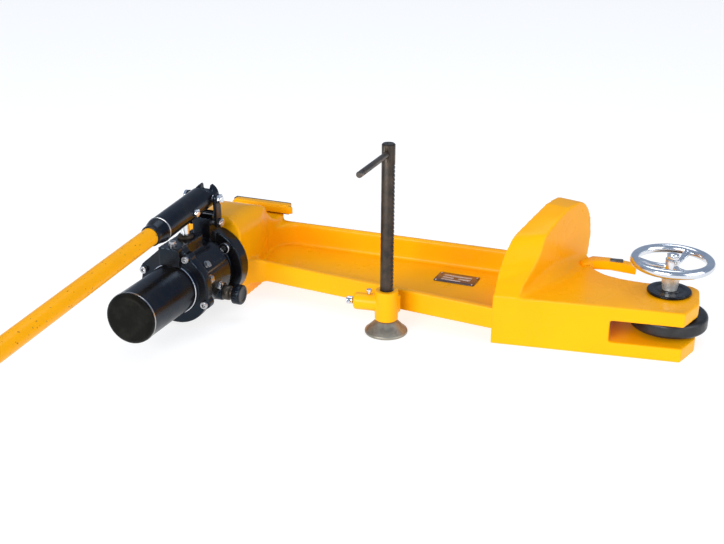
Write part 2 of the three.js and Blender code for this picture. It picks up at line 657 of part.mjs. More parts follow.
function makeLever() {
  const { pivotS, pivotUp, slope, tubeR, tubeWall, free } = lever;
  const y = plungerY();
  const pinUp = pivotUp - plunger.ahead * Math.sin(radians(slope));
  const { pinR } = plunger;

  // The plunger pin bears on the plunger's crown, so the pump's linkage is open here.
  const crown = pinUp - pinR - 0.5;
  place(press, 'pump_plunger', joined(round(plunger.r, plunger.foot, crown - 2, 28),
    round(plunger.r, crown - 2.01, crown, 28, plunger.r - 1.5)).translate([0, y, 0]), chrome());

  const links = [-1, 1].map((side) => {
    const plate = new THREE.Shape();
    const lean = Math.atan2(lever.pivotS - link.footS, pivotUp - link.footUp);
    const reach = Math.hypot(lever.pivotS - link.footS, pivotUp - link.footUp);
    plate.absarc(0, 0, link.r, Math.PI, Math.PI * 2, false);
    plate.absarc(0, reach, link.r, 0, Math.PI, false);
    plate.lineTo(-link.r, 0);
    const x0 = side > 0 ? link.inner : -link.inner - link.t;
    const g = slab(plate, x0, x0 + link.t, 8);
    g.rotateX(Math.PI / 2);
    g.rotateZ(Math.PI / 2);
    g.rotateX(-lean);
    return g.translate(0, link.footS, link.footUp);
  });
  const eye = (s, up, r) => alongX(round(r, -60, 60, 24)).translate(0, s, up);
  const bridgeUp = (link.footUp + pivotUp) / 2 - 5;
  const bridge = alongX(round(4, -link.inner - 1, link.inner + 1, 16))
    .translate(0, link.footS, bridgeUp);
  place(press, 'fulcrum_link', cut(joined(...links, bridge), eye(link.footS, link.footUp, 7 + gap),
    eye(pivotS, pivotUp, 8 + gap)), black());
  place(press, 'link_pin', joined(alongX(round(7, -38, 38, 24)),
    alongX(hexHead(17, 34.8, 41)), alongX(round(9.5, -40, -34.8, 24)))
    .translate([0, link.footS, link.footUp]), steel());
  place(press, 'lever_pivot_pin', joined(alongX(round(8, -38, 38, 24)),
    alongX(hexHead(18, 34.8, 42)), alongX(round(10.5, -41, -34.8, 24)))
    .translate([0, pivotS, pivotUp]), steel());
  place(press, 'plunger_pin', joined(alongX(round(pinR, -28, 28, 20)),
    alongX(hexHead(15, 25.5, 32)), alongX(round(8.5, -31, -25.5, 20)))
    .translate([0, y, pinUp]), chrome());

  // Socket and tube are drawn along +Z, then laid forwards and down from the pivot.
  const { r, rear, neck, end, tubeFrom, slotHalf } = socket;
  const barrel = turned([[0, rear], [r - 3, rear], [r, rear + 3], [r, neck], [r - 4.5, neck + 16],
    [r - 5, end], [0, end], [0, rear]], 28);
  // Its lower rear corner is a quarter round about the pivot, so that it passes the link's bridge.
  const corner = cut(solid(box(-30, 30, -30, 0, -30, 0)), alongX(round(r + gap, -31, 31, 48)));
  const body = cut(solid(barrel).subtract(corner),
    round(tubeR + gap, tubeFrom - gap, end + 1, 24),
    box(-slotHalf, slotHalf, -40, 9, 46, 94),
    box(-slotHalf, slotHalf, 9, 40, rear - 1, -3),
    alongX(round(8 + gap, -60, 60, 24)),
    alongX(round(pinR + run, -60, 60, 20)).translate(0, 0, plunger.ahead),
    alongX(round(13, -60, 60, 24)).translate(0, 26, 0));
  const tube = [[tubeR - tubeWall, tubeFrom], [tubeR, tubeFrom], [tubeR, free - 1],
    [tubeR - 1, free], [tubeR - tubeWall, free], [tubeR - tubeWall, tubeFrom]];
  const laid = (m) => m.rotate([90 + slope, 0, 0]).translate([0, pivotS, pivotUp]);
  place(press, 'lever_socket', laid(body), black());
  place(press, 'pump_lever', laid(solid(turned(tube, 24))), yellow());
}

// ---- data plate ------------------------------------------------------------------

function makeDataPlate() {
  const turn = radians(-9);
  const top = web.z + web.t + gap;
  const plate = box(-44, 44, -25, 25, top, top + 1.5).rotateZ(turn).translate(-211, 86, 0);
  place(machine, 'data_plate', plate, darkSteel());
}

makeBeam();
makeFork();
makeFin();
makeRailRest();
makeLegHolder();
makeLatch();
makeLeg();
makeRollerEnd();
makePressHead();
makeRam();
makeReservoir();
makePumpBody();
makePumpFittings();
makeLever();
makeDataPlate();

export default machine;
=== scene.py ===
import json
from math import atan2, cos, hypot, pi, radians, sin

import bpy
from mathutils import Matrix, Vector


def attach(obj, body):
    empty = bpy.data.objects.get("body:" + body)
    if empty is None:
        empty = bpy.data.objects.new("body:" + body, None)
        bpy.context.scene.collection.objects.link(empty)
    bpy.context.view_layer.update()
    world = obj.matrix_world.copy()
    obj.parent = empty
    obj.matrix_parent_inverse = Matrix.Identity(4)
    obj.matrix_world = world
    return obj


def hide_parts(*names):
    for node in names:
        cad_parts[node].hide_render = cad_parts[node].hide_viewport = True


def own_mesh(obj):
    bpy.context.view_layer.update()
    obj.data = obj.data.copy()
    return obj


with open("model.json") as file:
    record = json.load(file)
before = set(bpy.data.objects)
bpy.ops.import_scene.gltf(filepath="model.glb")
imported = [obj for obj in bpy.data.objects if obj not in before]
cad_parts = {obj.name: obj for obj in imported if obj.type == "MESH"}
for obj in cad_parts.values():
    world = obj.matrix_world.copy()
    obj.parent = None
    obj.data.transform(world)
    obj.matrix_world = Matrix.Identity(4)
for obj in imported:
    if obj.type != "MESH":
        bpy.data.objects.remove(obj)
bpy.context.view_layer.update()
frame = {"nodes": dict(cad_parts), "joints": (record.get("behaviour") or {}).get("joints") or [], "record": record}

mm = 0.001
joints = {joint["name"]: joint for joint in frame["joints"]}
print("frame loaded:", len(frame["nodes"]), "nodes")

# the linkage's pivots as (y, z) in the press frame, and how far the plunger's pin is along the lever
linkage = {"lug": (-36, 98), "pivot": (-38, 149), "pinReach": 78, "slope": 4.4}

# the pump and ram are laid out along the ram's own axis: x across, y along it, z up
ramAxis = joints["ram_slide"]["axis"]
pressTurn = atan2(ramAxis[0], ramAxis[1])
linkAt = Vector(joints["link_swing"]["pos_m"])
lugY, lugZ = linkage["lug"]
pressAt = linkAt - Vector(ramAxis) * lugY * mm - Vector((0, 0, lugZ)) * mm
pressPlace = Matrix.Translation(pressAt) @ Matrix.Rotation(-pressTurn, 4, "Z")
upToY = Matrix.Rotation(radians(-90), 4, "X")
upToX = Matrix.Rotation(radians(90), 4, "Y")
upright = Matrix(((0, 0, 1, 0), (1, 0, 0, 0), (0, 1, 0, 0), (0, 0, 0, 1)))  # an outline stood along y
acrossY = Matrix(((1, 0, 0, 0), (0, 0, -1, 0), (0, 1, 0, 0), (0, 0, 0, 1)))  # stood across y
mirrored = Matrix(((1, 0, 0, 0), (0, 0, 1, 0), (0, 1, 0, 0), (0, 0, 0, 1)))  # the same, inside out


def moved(x, y, z):
    return Matrix.Translation(Vector((x, y, z)) * mm)


def footOf(joint):
    x, y, z = joints[joint]["pos_m"]
    return Vector((x, y, 0))


legAt, wheelAt, rollerAt = footOf("leg_turn"), footOf("handwheel_turn"), footOf("roller_spin")


view = {"at": (0.1158, -2.1247, 0.9648), "round": 13.5, "above": 22.0, "roll": 0.3, "lens": 57.17}


def makeCamera():
    camera = bpy.data.objects.new("camera", bpy.data.cameras.new("camera"))
    bpy.context.scene.collection.objects.link(camera)
    camera.data.lens = view["lens"]
    camera.data.sensor_width = 36
    turn = Matrix.Rotation(radians(view["round"]), 4, "Z")
    tilt = Matrix.Rotation(radians(90 - view["above"]), 4, "X")
    roll = Matrix.Rotation(radians(view["roll"]), 4, "Z")
    camera.matrix_world = Matrix.Translation(view["at"]) @ turn @ tilt @ roll
    bpy.context.scene.camera = camera


studio = {
    "sky": (0.62, 0.76, 1.0), "skyPower": 0.48,
    "floorGlow": 0.78, "floorColour": (0.30, 0.30, 0.30), "floorSize": 60, "aim": (-0.2, 0, 0.1),
    "lamps": {
        "keyLamp": {"at": (-2.4, -5.6, 2.3), "size": (4.0, 2.2), "power": 365, "tint": (1, 0.98, 0.95)},
        "sideLamp": {"at": (3.0, -1.3, 1.5), "size": (3.2, 2.4), "power": 58, "tint": (1, 0.99, 0.97)},
        "topLamp": {"at": (-0.5, 0.9, 3.2), "size": (2.6, 1.2), "power": 26, "tint": (0.93, 0.96, 1)},
    },
}


def makeStudio():
    world = bpy.data.worlds.new("sky")
    bpy.context.scene.world = world
    world.use_nodes = True
    backdrop = world.node_tree.nodes["Background"]
    backdrop.inputs["Color"].default_value = (*studio["sky"], 1)
    backdrop.inputs["Strength"].default_value = studio["skyPower"]
    for name, lamp in studio["lamps"].items():
        data = bpy.data.lights.new(name, "AREA")
        data.shape = "RECTANGLE"
        data.size, data.size_y = lamp["size"]
        data.energy = lamp["power"]
        data.color = lamp["tint"]
        light = bpy.data.objects.new(name, data)
        bpy.context.scene.collection.objects.link(light)
        light.location = lamp["at"]
        aim = Vector(studio["aim"]) - light.location
        light.rotation_mode = "QUATERNION"
        light.rotation_quaternion = aim.to_track_quat("-Z", "Y")
    bpy.context.scene.view_settings.view_transform = "Standard"
    bpy.ops.mesh.primitive_plane_add(size=studio["floorSize"], location=(0, 10, -0.0005))
    floor = bpy.context.object
    floor.name = "floor"
    paper = bpy.data.materials.new("floorPaper")
    paper.use_nodes = True
    shader = paper.node_tree.nodes["Principled BSDF"]
    shader.inputs["Base Color"].default_value = (*studio["floorColour"], 1)
    shader.inputs["Roughness"].default_value = 0.9
    shader.inputs["Emission Color"].default_value = (1, 1, 1, 1)
    shader.inputs["Emission Strength"].default_value = studio["floorGlow"]
    floor.data.materials.append(paper)


class Signal:
    # a socket in a material's node tree: sums written on it become Math nodes
    def __init__(self, finish, socket):
        self.finish = finish
        self.socket = socket

    def sum(self, operation, first, second):
        return self.finish.node("Math", {"operation": operation}, {0: first, 1: second})

    def __add__(self, other):
        return self.sum("ADD", self, other)

    def __radd__(self, other):
        return self.sum("ADD", other, self)

    def __mul__(self, other):
        return self.sum("MULTIPLY", self, other)

    def __rmul__(self, other):
        return self.sum("MULTIPLY", other, self)


class Finish:
    # one material, with its Principled shader and the nodes that feed it
    def __init__(self, name, **fixed):
        self.material = bpy.data.materials.new(name)
        self.material.use_nodes = True
        self.tree = self.material.node_tree
        self.shader = self.tree.nodes["Principled BSDF"]
        for socket, value in fixed.items():
            self.shader.inputs[socket.replace("_", " ")].default_value = value
        self.place = self.node("TexCoord", out="Object")

    def node(self, kind, settings=None, inputs=None, out=0):
        made = self.tree.nodes.new("ShaderNode" + kind)
        for name, value in (settings or {}).items():
            setattr(made, name, value)
        for name, value in (inputs or {}).items():
            if isinstance(value, Signal):
                self.tree.links.new(value.socket, made.inputs[name])
            else:
                made.inputs[name].default_value = value
        return Signal(self, made.outputs[out])

    def noise(self, scale, detail=3, roughness=0.5, at=None):
        return self.node("TexNoise", {}, {
            "Vector": at or self.place, "Scale": scale, "Detail": detail, "Roughness": roughness})

    def stretched(self, size):
        return self.node("Mapping", {}, {"Vector": self.place, "Scale": size})

    def between(self, value, low, high, newLow=0.0, newHigh=1.0):
        return self.node("MapRange", {"clamp": True}, {
            "Value": value, "From Min": low, "From Max": high, "To Min": newLow, "To Max": newHigh})

    def mix(self, share, first, second):
        # the colour sockets of a Mix node come after its number and vector sockets
        return self.node("Mix", {"data_type": "RGBA"}, {0: share, 6: first, 7: second}, out=2)

    def feed(self, **links):
        for socket, signal in links.items():
            self.tree.links.new(signal.socket, self.shader.inputs[socket.replace("_", " ")])

    def bump(self, height, strength, distance):
        return self.node("Bump", {}, {"Height": height, "Strength": strength, "Distance": distance})

    def edges(self, low=0.52, high=0.6):
        # 1 on worn outer edges, 0 on flats and in corners
        return self.between(self.node("NewGeometry", out="Pointiness"), low, high)


def colour(red, green, blue):
    return (red, green, blue, 1)


def paintedYellow():
    f = Finish("paintedYellow", Specular_IOR_Level=0.14)
    tone = f.between(f.noise(5, 4), 0.35, 0.65)
    skin = f.noise(260, 3)
    body = f.mix(tone, colour(0.93, 0.385, 0.0012), colour(1.0, 0.435, 0.0012))
    specks = f.between(f.noise(160, 2), 0.66, 0.70)
    chips = specks * f.edges(0.53, 0.6)
    dust = f.between(f.noise(22, 5, 0.6), 0.5, 0.85) * 0.10
    dusted = f.mix(dust, body, colour(0.55, 0.28, 0.02))
    f.feed(Base_Color=f.mix(chips, dusted, colour(0.10, 0.055, 0.02)),
           Roughness=f.between(f.noise(14, 4), 0.3, 0.7, 0.24, 0.36) + chips * 0.3,
           Normal=f.bump(skin * 0.5 + f.noise(38, 3), 0.22, 0.0006))
    return f.material


def blackEnamel():
    # the enamel's specular is tinted blue: a painted bluish reflection
    f = Finish("blackEnamel", Specular_IOR_Level=0.34, Specular_Tint=colour(0.52, 0.74, 1.0))
    grain = f.noise(420, 4)
    bruise = f.between(f.noise(17, 5, 0.6), 0.42, 0.68)
    body = f.mix(bruise, colour(0.003, 0.0035, 0.006), colour(0.012, 0.009, 0.006))
    worn = f.edges(0.55, 0.66) * f.between(f.noise(90, 3), 0.52, 0.62)
    f.feed(Base_Color=f.mix(worn, body, colour(0.09, 0.08, 0.07)),
           Roughness=f.between(f.noise(30, 4), 0.3, 0.7, 0.14, 0.32),
           Normal=f.bump(grain * 0.6 + f.noise(60, 3), 0.25, 0.0006))
    return f.material


def blackCap():
    f = Finish("blackCap", Specular_IOR_Level=0.08)
    grain = f.node("TexVoronoi", {"feature": "SMOOTH_F1"}, {"Vector": f.place, "Scale": 520})
    dust = f.between(f.noise(35, 5, 0.65), 0.45, 0.75)
    f.feed(Base_Color=f.mix(dust, colour(0.005, 0.005, 0.004), colour(0.014, 0.014, 0.011)),
           Roughness=f.between(dust, 0, 1, 0.42, 0.6),
           Normal=f.bump(grain, 0.3, 0.0006))
    return f.material


def oiledSteel():
    f = Finish("oiledSteel", Metallic=0.75)
    scale = f.between(f.noise(28, 6, 0.65), 0.4, 0.7)
    bright = f.edges(0.53, 0.6) * 0.55
    body = f.mix(scale, colour(0.035, 0.030, 0.026), colour(0.095, 0.068, 0.048))
    f.feed(Base_Color=f.mix(bright, body, colour(0.30, 0.27, 0.24)),
           Roughness=f.between(f.noise(60, 4), 0.3, 0.7, 0.28, 0.5),
           Normal=f.bump(f.noise(240, 4), 0.3, 0.0005))
    return f.material


def groundSteel():
    f = Finish("groundSteel", Metallic=0.6)
    mottle = f.between(f.noise(40, 5, 0.6), 0.4, 0.7)
    body = f.mix(mottle, colour(0.30, 0.28, 0.23), colour(0.13, 0.11, 0.085))
    f.feed(Base_Color=f.mix(f.edges(0.53, 0.6) * 0.6, body, colour(0.55, 0.53, 0.48)),
           Roughness=f.between(f.noise(60, 4), 0.3, 0.7, 0.3, 0.5),
           Normal=f.bump(f.noise(200, 4), 0.2, 0.0005))
    return f.material


def castSilver():
    f = Finish("castSilver", Metallic=0.7)
    stain = f.between(f.noise(45, 4), 0.45, 0.75)
    f.feed(Base_Color=f.mix(stain, colour(0.80, 0.80, 0.77), colour(0.55, 0.54, 0.50)),
           Roughness=f.between(f.noise(60, 3), 0.3, 0.7, 0.22, 0.4),
           Normal=f.bump(f.noise(90, 3), 0.08, 0.0005))
    return f.material


def rolledBlack():
    f = Finish("rolledBlack", Metallic=0.5)
    shift = {"Vector": f.place, "Location": tuple(-c for c in rollerAt)}
    centred = f.node("Mapping", {}, shift)
    rings = f.node("TexWave", {"wave_type": "RINGS", "rings_direction": "Z"}, {
        "Vector": centred, "Scale": 190, "Distortion": 1.2, "Detail": 2})
    rubbed = f.between(f.noise(16, 5, 0.6), 0.4, 0.72)
    f.feed(Base_Color=f.mix(rubbed, colour(0.014, 0.015, 0.017), colour(0.045, 0.045, 0.047)),
           Roughness=f.between(f.noise(40, 4), 0.3, 0.7, 0.3, 0.46),
           Normal=f.bump(rings, 0.06, 0.0004))
    return f.material


def chromePlate():
    f = Finish("chromePlate", Metallic=1.0)
    haze = f.between(f.noise(22, 5, 0.6), 0.35, 0.7)
    pits = f.between(f.noise(300, 2), 0.72, 0.76)
    f.feed(Base_Color=f.mix(pits, f.mix(haze, colour(0.66, 0.69, 0.74), colour(0.80, 0.81, 0.83)),
                            colour(0.25, 0.23, 0.21)),
           Roughness=f.between(haze, 0, 1, 0.13, 0.24) + pits * 0.3,
           Normal=f.bump(f.noise(70, 3), 0.05, 0.0005))
    return f.material


def turnedSteel():
    f = Finish("turnedSteel", Metallic=1.0)
    lines = f.noise(34, 2, 0.5, f.stretched((1, 60, 60)))
    stain = f.between(f.noise(50, 4), 0.45, 0.75)
    f.feed(Base_Color=f.mix(stain, colour(0.50, 0.50, 0.51), colour(0.33, 0.31, 0.28)),
           Roughness=f.between(lines, 0.3, 0.7, 0.2, 0.36),
           Normal=f.bump(lines, 0.12, 0.0003))
    return f.material


def bearingBronze():
    f = Finish("bearingBronze", Metallic=1.0)
    stain = f.between(f.noise(60, 4), 0.4, 0.7)
    f.feed(Base_Color=f.mix(stain, colour(0.50, 0.31, 0.12), colour(0.28, 0.16, 0.07)),
           Roughness=f.between(f.noise(120, 3), 0.3, 0.7, 0.3, 0.48))
    return f.material


def sealRubber():
    f = Finish("sealRubber")
    f.feed(Base_Color=f.mix(f.noise(80), colour(0.012, 0.012, 0.012), colour(0.03, 0.03, 0.03)),
           Roughness=f.between(f.noise(50), 0.3, 0.7, 0.6, 0.8))
    return f.material


def platePrint():
    f = Finish("platePrint", Coat_Weight=0.4, Coat_Roughness=0.1)
    glow = f.between(f.noise(12, 3), 0.35, 0.7)
    f.feed(Base_Color=f.mix(glow, colour(0.012, 0.010, 0.016), colour(0.075, 0.03, 0.02)),
           Roughness=f.between(f.noise(40, 3), 0.3, 0.7, 0.25, 0.4))
    return f.material


def plateMark():
    f = Finish("plateMark", Metallic=0.6)
    f.feed(Base_Color=f.mix(f.noise(90), colour(0.42, 0.40, 0.38), colour(0.62, 0.61, 0.60)),
           Roughness=f.between(f.noise(60), 0.3, 0.7, 0.3, 0.45))
    return f.material


finishes = {
    "yellow_paint": paintedYellow(), "black_gloss": blackEnamel(), "black_matt": blackCap(),
    "roller_steel": rolledBlack(), "dark_steel": oiledSteel(), "chrome": chromePlate(),
    "steel": turnedSteel(), "bronze": bearingBronze(), "seal_rubber": sealRubber(),
    "plate": platePrint(),
}
markFinish, footFinish, hubFinish = plateMark(), groundSteel(), castSilver()
print("materials made:", len(finishes) + 3)


def only(*objs):
    if bpy.context.object and bpy.context.object.mode != "OBJECT":
        bpy.ops.object.mode_set(mode="OBJECT")
    bpy.ops.object.select_all(action="DESELECT")
    for obj in objs:
        obj.select_set(True)
    bpy.context.view_layer.objects.active = objs[0] if objs else None


def settled(obj, place=None):
    if place is not None:
        obj.matrix_world = place @ obj.matrix_world
    only(obj)
    bpy.ops.object.transform_apply(location=True, rotation=True, scale=True)
    return obj


def editing(obj):
    only(obj)
    bpy.ops.object.mode_set(mode="EDIT")
    bpy.ops.mesh.select_all(action="SELECT")


def doneEditing(obj):
    bpy.ops.mesh.select_all(action="SELECT")
    bpy.ops.mesh.normals_make_consistent(inside=False)
    bpy.ops.object.mode_set(mode="OBJECT")
    return obj


# a turned solid: rings are (radius, height) from its foot to its top
def turned(rings, sides=72, place=None):
    only()
    radius, height = rings[0]
    bpy.ops.mesh.primitive_circle_add(vertices=sides, radius=radius * mm, fill_type="NGON",
                                      location=(0, 0, height * mm))
    obj = settled(bpy.context.object)
    editing(obj)
    for nextRadius, nextHeight in rings[1:]:
        bpy.ops.mesh.extrude_region_move(
            TRANSFORM_OT_translate={"value": (0, 0, (nextHeight - height) * mm)})
        grow = nextRadius / radius
        bpy.ops.transform.resize(value=(grow, grow, 1), center_override=(0, 0, nextHeight * mm))
        radius, height = nextRadius, nextHeight
    doneEditing(obj)
    return settled(obj, place)


# a plain round bar, for cutting a bore
def drilled(radius, low, high, sides=48, place=None):
    return turned([(radius, low), (radius, high)], sides, place)


# a slab: a flat outline raised between two heights
def slab(points, low, high, place=None):
    only()
    mesh = bpy.data.meshes.new("slab")
    mesh.from_pydata([(x * mm, y * mm, low * mm) for x, y in points], [], [range(len(points))])
    obj = bpy.data.objects.new("slab", mesh)
    bpy.context.scene.collection.objects.link(obj)
    editing(obj)
    bpy.ops.mesh.extrude_region_move(TRANSFORM_OT_translate={"value": (0, 0, (high - low) * mm)})
    doneEditing(obj)
    return settled(obj, place)


# a solid through a row of rings that have the same number of points
def lofted(rings, place=None):
    only()
    count, last = len(rings[0]), len(rings) - 1
    faces = []
    for i in range(last):
        here, above = i * count, (i + 1) * count
        for j in range(count):
            after = (j + 1) % count
            faces.append([here + j, here + after, above + after, above + j])
    faces += [list(range(count)), [last * count + j for j in reversed(range(count))]]
    mesh = bpy.data.meshes.new("loft")
    mesh.from_pydata([Vector(point) * mm for ring in rings for point in ring], [], faces)
    obj = bpy.data.objects.new("loft", mesh)
    bpy.context.scene.collection.objects.link(obj)
    editing(obj)
    doneEditing(obj)
    return settled(obj, place)


def block(x0, x1, y0, y1, z0, z1, place=None):
    only()
    middle = ((x0 + x1) / 2 * mm, (y0 + y1) / 2 * mm, (z0 + z1) / 2 * mm)
    bpy.ops.mesh.primitive_cube_add(size=1, location=middle,
                                    scale=((x1 - x0) * mm, (y1 - y0) * mm, (z1 - z0) * mm))
    return settled(bpy.context.object, place)


def modified(obj, kind, **settings):
    only(obj)
    modifier = obj.modifiers.new(kind.lower(), kind)
    for name, value in settings.items():
        setattr(modifier, name, value)
    bpy.ops.object.modifier_apply(modifier=modifier.name)
    return obj


def softened(obj, width=0.8, segments=2, sharp=32):
    return modified(obj, "BEVEL", width=width * mm, segments=segments, limit_method="ANGLE",
                    angle_limit=radians(sharp), harden_normals=False)


def cut(obj, *tools):
    for tool in tools:
        modified(obj, "BOOLEAN", object=tool, operation="DIFFERENCE", solver="EXACT")
        bpy.data.objects.remove(tool)
    return obj


def united(obj, *others):
    for other in others:
        modified(obj, "BOOLEAN", object=other, operation="UNION", solver="EXACT")
        bpy.data.objects.remove(other)
    return obj


# a casting: overlapping solids run together, with every edge and corner rounded.
# The grain is its voxel size in millimetres.
def cast(parts, grain, rounds):
    only(*parts)
    bpy.ops.object.join()
    obj = bpy.context.object
    modified(obj, "REMESH", mode="VOXEL", voxel_size=grain * mm, adaptivity=0)
    modified(obj, "SMOOTH", factor=0.5, iterations=rounds)
    return obj


# more rounding where the test is true of a vertex's place, in millimetres
def eased(obj, test, rounds):
    group = obj.vertex_groups.new(name="eased")
    group.add([v.index for v in obj.data.vertices if test(v.co / mm)], 1, "REPLACE")
    modified(obj, "SMOOTH", factor=0.5, iterations=rounds, vertex_group="eased")
    obj.vertex_groups.clear()
    return obj


def copied(node):
    mesh = frame["nodes"][node].data.copy()
    obj = bpy.data.objects.new(node + "Copy", mesh)
    bpy.context.scene.collection.objects.link(obj)
    mesh.materials.clear()
    editing(obj)
    bpy.ops.mesh.remove_doubles(threshold=0.00001)
    bpy.ops.mesh.dissolve_limited(angle_limit=radians(1))
    return doneEditing(obj)


def fitted(obj, name, slot, body, nodes=(), sharp=34, finish=None):
    obj.name = name
    obj.data.name = name
    only(obj)
    bpy.ops.object.shade_smooth_by_angle(angle=radians(sharp))
    obj.data.materials.clear()
    obj.data.materials.append(finish or finishes[slot])
    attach(obj, body)
    if nodes:
        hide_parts(*nodes)
    return obj


# points on a curve with one or two control points, without its first point
def curved(start, *rest, steps=14):
    points = []
    for k in range(1, steps + 1):
        t = k / steps
        ladder = [Vector(p) for p in (start, *rest)]
        while len(ladder) > 1:
            ladder = [a.lerp(b, t) for a, b in zip(ladder, ladder[1:])]
        points.append(tuple(ladder[0]))
    return points


def arc(x, y, radius, start, end, steps=12):
    angles = [radians(start + (end - start) * k / steps) for k in range(steps + 1)]
    return [(x + radius * cos(a), y + radius * sin(a)) for a in angles]


castBlock = {"left": -113, "right": 110, "front": -100, "back": 158, "top": 100, "plate": 28,
             "hollow": 57, "shaftR": 24, "grain": 2.4, "rounds": 5}
fin = {"turn": -24, "foot": (-69, -105), "thick": 52, "crest": 196, "noseTop": 120,
       "skirt": 9, "skirtFrom": 22, "skirtTo": 286, "skirtStrips": 16}


# how far the fin's right side falls behind its left side, so that its nose faces forwards
def noseLean(along, up):
    share = max(0.0, up / fin["noseTop"])
    return fin["thick"] * sin(pi * share ** 1.15) if along < fin["crest"] and share < 1 else 0.0


def makeFin():
    side = [(10, -14), (10, 0), *curved((10, 0), (14, 40), (48, 78)),
            *curved((48, 78), (62, 94), (84, 100)), *curved((84, 100), (196, 130), steps=10), (236, 131),
            *curved((236, 131), (268, 130), (296, 100), (301, 56)),
            *curved((301, 56), (303, 20), (292, 0)), (292, -14)]
    blade = slab(side, -fin["thick"], 0, upright)
    for vertex in blade.data.vertices:
        if vertex.co.x > -mm:
            vertex.co.y += noseLean(vertex.co.y / mm, vertex.co.z / mm) * mm
    return blade


# a hollow wedge along the fin's foot, widest half way along
def makeFinSkirt(x, outward):
    start, end, strips = fin["skirtFrom"], fin["skirtTo"], fin["skirtStrips"]
    swell = 20 if outward > 0 else 6
    rows = []
    for k in range(strips + 1):
        along = start + (end - start) * k / strips
        wide = fin["skirt"] + swell * sin(pi * k / strips) ** 1.3
        section = ((-8, -6), (wide, -6), (wide, 0.6), (wide * 0.55, wide * 0.14),
                   (wide * 0.22, wide * 0.42), (0.5, wide * 0.9), (-8, wide * 0.9))
        rows.append([(x + outward * reach, along, height) for reach, height in section])
    return lofted(rows)


# the stretch of the block's top where the fin's nose grows out of it
def onNose(point):
    low = castBlock["top"] - 12
    inFront = point.x < -30 and point.y < -30
    return inFront and low < point.z < 190 and point.z > low + 0.25 * (point.y + 100)


def makeCastEnd():
    left, right, front, back = (castBlock[k] for k in ("left", "right", "front", "back"))
    top, plate, dip = castBlock["top"], castBlock["plate"], castBlock["hollow"]
    hollow = curved((right, dip), (62, 74), (40, back))
    core = slab([(left, front), (right, front), (right, dip), *hollow, (left, back)], 0, top)
    plan = [(left, front), (244, front), (271, -42), *arc(245, 20, 28, 0, 90),
            (175, 42), *curved((175, 42), (132, 46), (right, dip)), *hollow, (left, back)]
    plates = [slab(plan, 0, plate), slab(plan, top - plate, top)]

    finPlace = Matrix.Translation(Vector((*fin["foot"], top)) * mm)
    finPlace = finPlace @ Matrix.Rotation(radians(fin["turn"]), 4, "Z")
    standing = [makeFin(), makeFinSkirt(0, 1), makeFinSkirt(-fin["thick"], -1)]
    for piece in standing:
        settled(piece, finPlace)
    # what would hang over the block's rear edge is trimmed off the skirts
    for piece in standing[1:]:
        editing(piece)
        bpy.ops.mesh.bisect(plane_co=(0, (back - 1) * mm, 0), plane_no=(0, 1, 0), use_fill=True,
                            clear_outer=True)
        doneEditing(piece)

    # the block's front runs up into the fin's nose without a ledge
    nose = lofted([[(x, y, top + up) for x, y in corners] for up, corners in (
        (-8, ((-112.6, -99.5), (-64, -99.5), (-50, -60), (-100, -50))),
        (0, ((-112.6, -99.5), (-64, -99.5), (-50, -60), (-100, -50))),
        (8, ((-112, -89), (-62, -90), (-48, -55), (-100, -48))),
        (20, ((-111, -78.5), (-57, -78), (-46, -52), (-100, -46))),
        (44, ((-107, -64), (-47, -46), (-42, -35), (-100, -44))),
        (64, ((-102, -47), (-46, -25), (-42, -19), (-98, -39))))])
    body = cast([core, *plates, *standing, nose], castBlock["grain"], castBlock["rounds"])
    eased(body, onNose, 10)
    cut(body, drilled(castBlock["shaftR"], -5, 110, 72, Matrix.Translation(wheelAt)))
    return fitted(body, "castEnd", "yellow_paint", "frame",
                  ["centre_block", "upper_fork_plate", "lower_fork_plate", "fulcrum_fin"])


beam = {
    "right": -109,
    "front": {"z": 29, "h": 44, "leftX": -634, "leftY": 30.2, "rightY": -98},
    "rear": {"z": 8, "h": 92, "leftX": -645, "leftY": 209, "rightY": 143.5},
    "thick": 16, "webZ": 36, "webThick": 14, "webLeft": -660, "blockX": -113.3,
    "grain": 2.4, "rounds": 5,
}
head = {"half": 62, "tail": 48, "depth": 242, "top": 95, "rearTop": 31, "drop": 82, "shoulder": 52,
        "narrowed": 150, "boreR": 46, "boreEnd": 150, "rodR": 20.4}


def flangeY(flange, x):
    share = (x - beam["blockX"]) / (flange["leftX"] - beam["blockX"])
    return flange["rightY"] + share * (flange["leftY"] - flange["rightY"])


def flangeBar(flange, farLeft):
    thick = beam["thick"]
    ends = [(farLeft, flangeY(flange, farLeft)), (beam["right"], flangeY(flange, beam["right"]))]
    points = [*ends, *[(x, y + thick) for x, y in reversed(ends)]]
    return slab(points, flange["z"], flange["z"] + flange["h"])


# a wedge with a hollow face, as left by a grinder in a welded corner
def cornerWedge(corner, alongOne, alongTwo, size, low, high):
    c, one, two = Vector(corner), Vector(alongOne).normalized(), Vector(alongTwo).normalized()
    start, end = c + one * size, c + two * size
    waist = c + (one + two) * size * 0.16
    backOff = (one + two) * -6
    points = [tuple(c + backOff), tuple(start), *curved(start, waist, end, steps=8)]
    return slab(points, low, high)


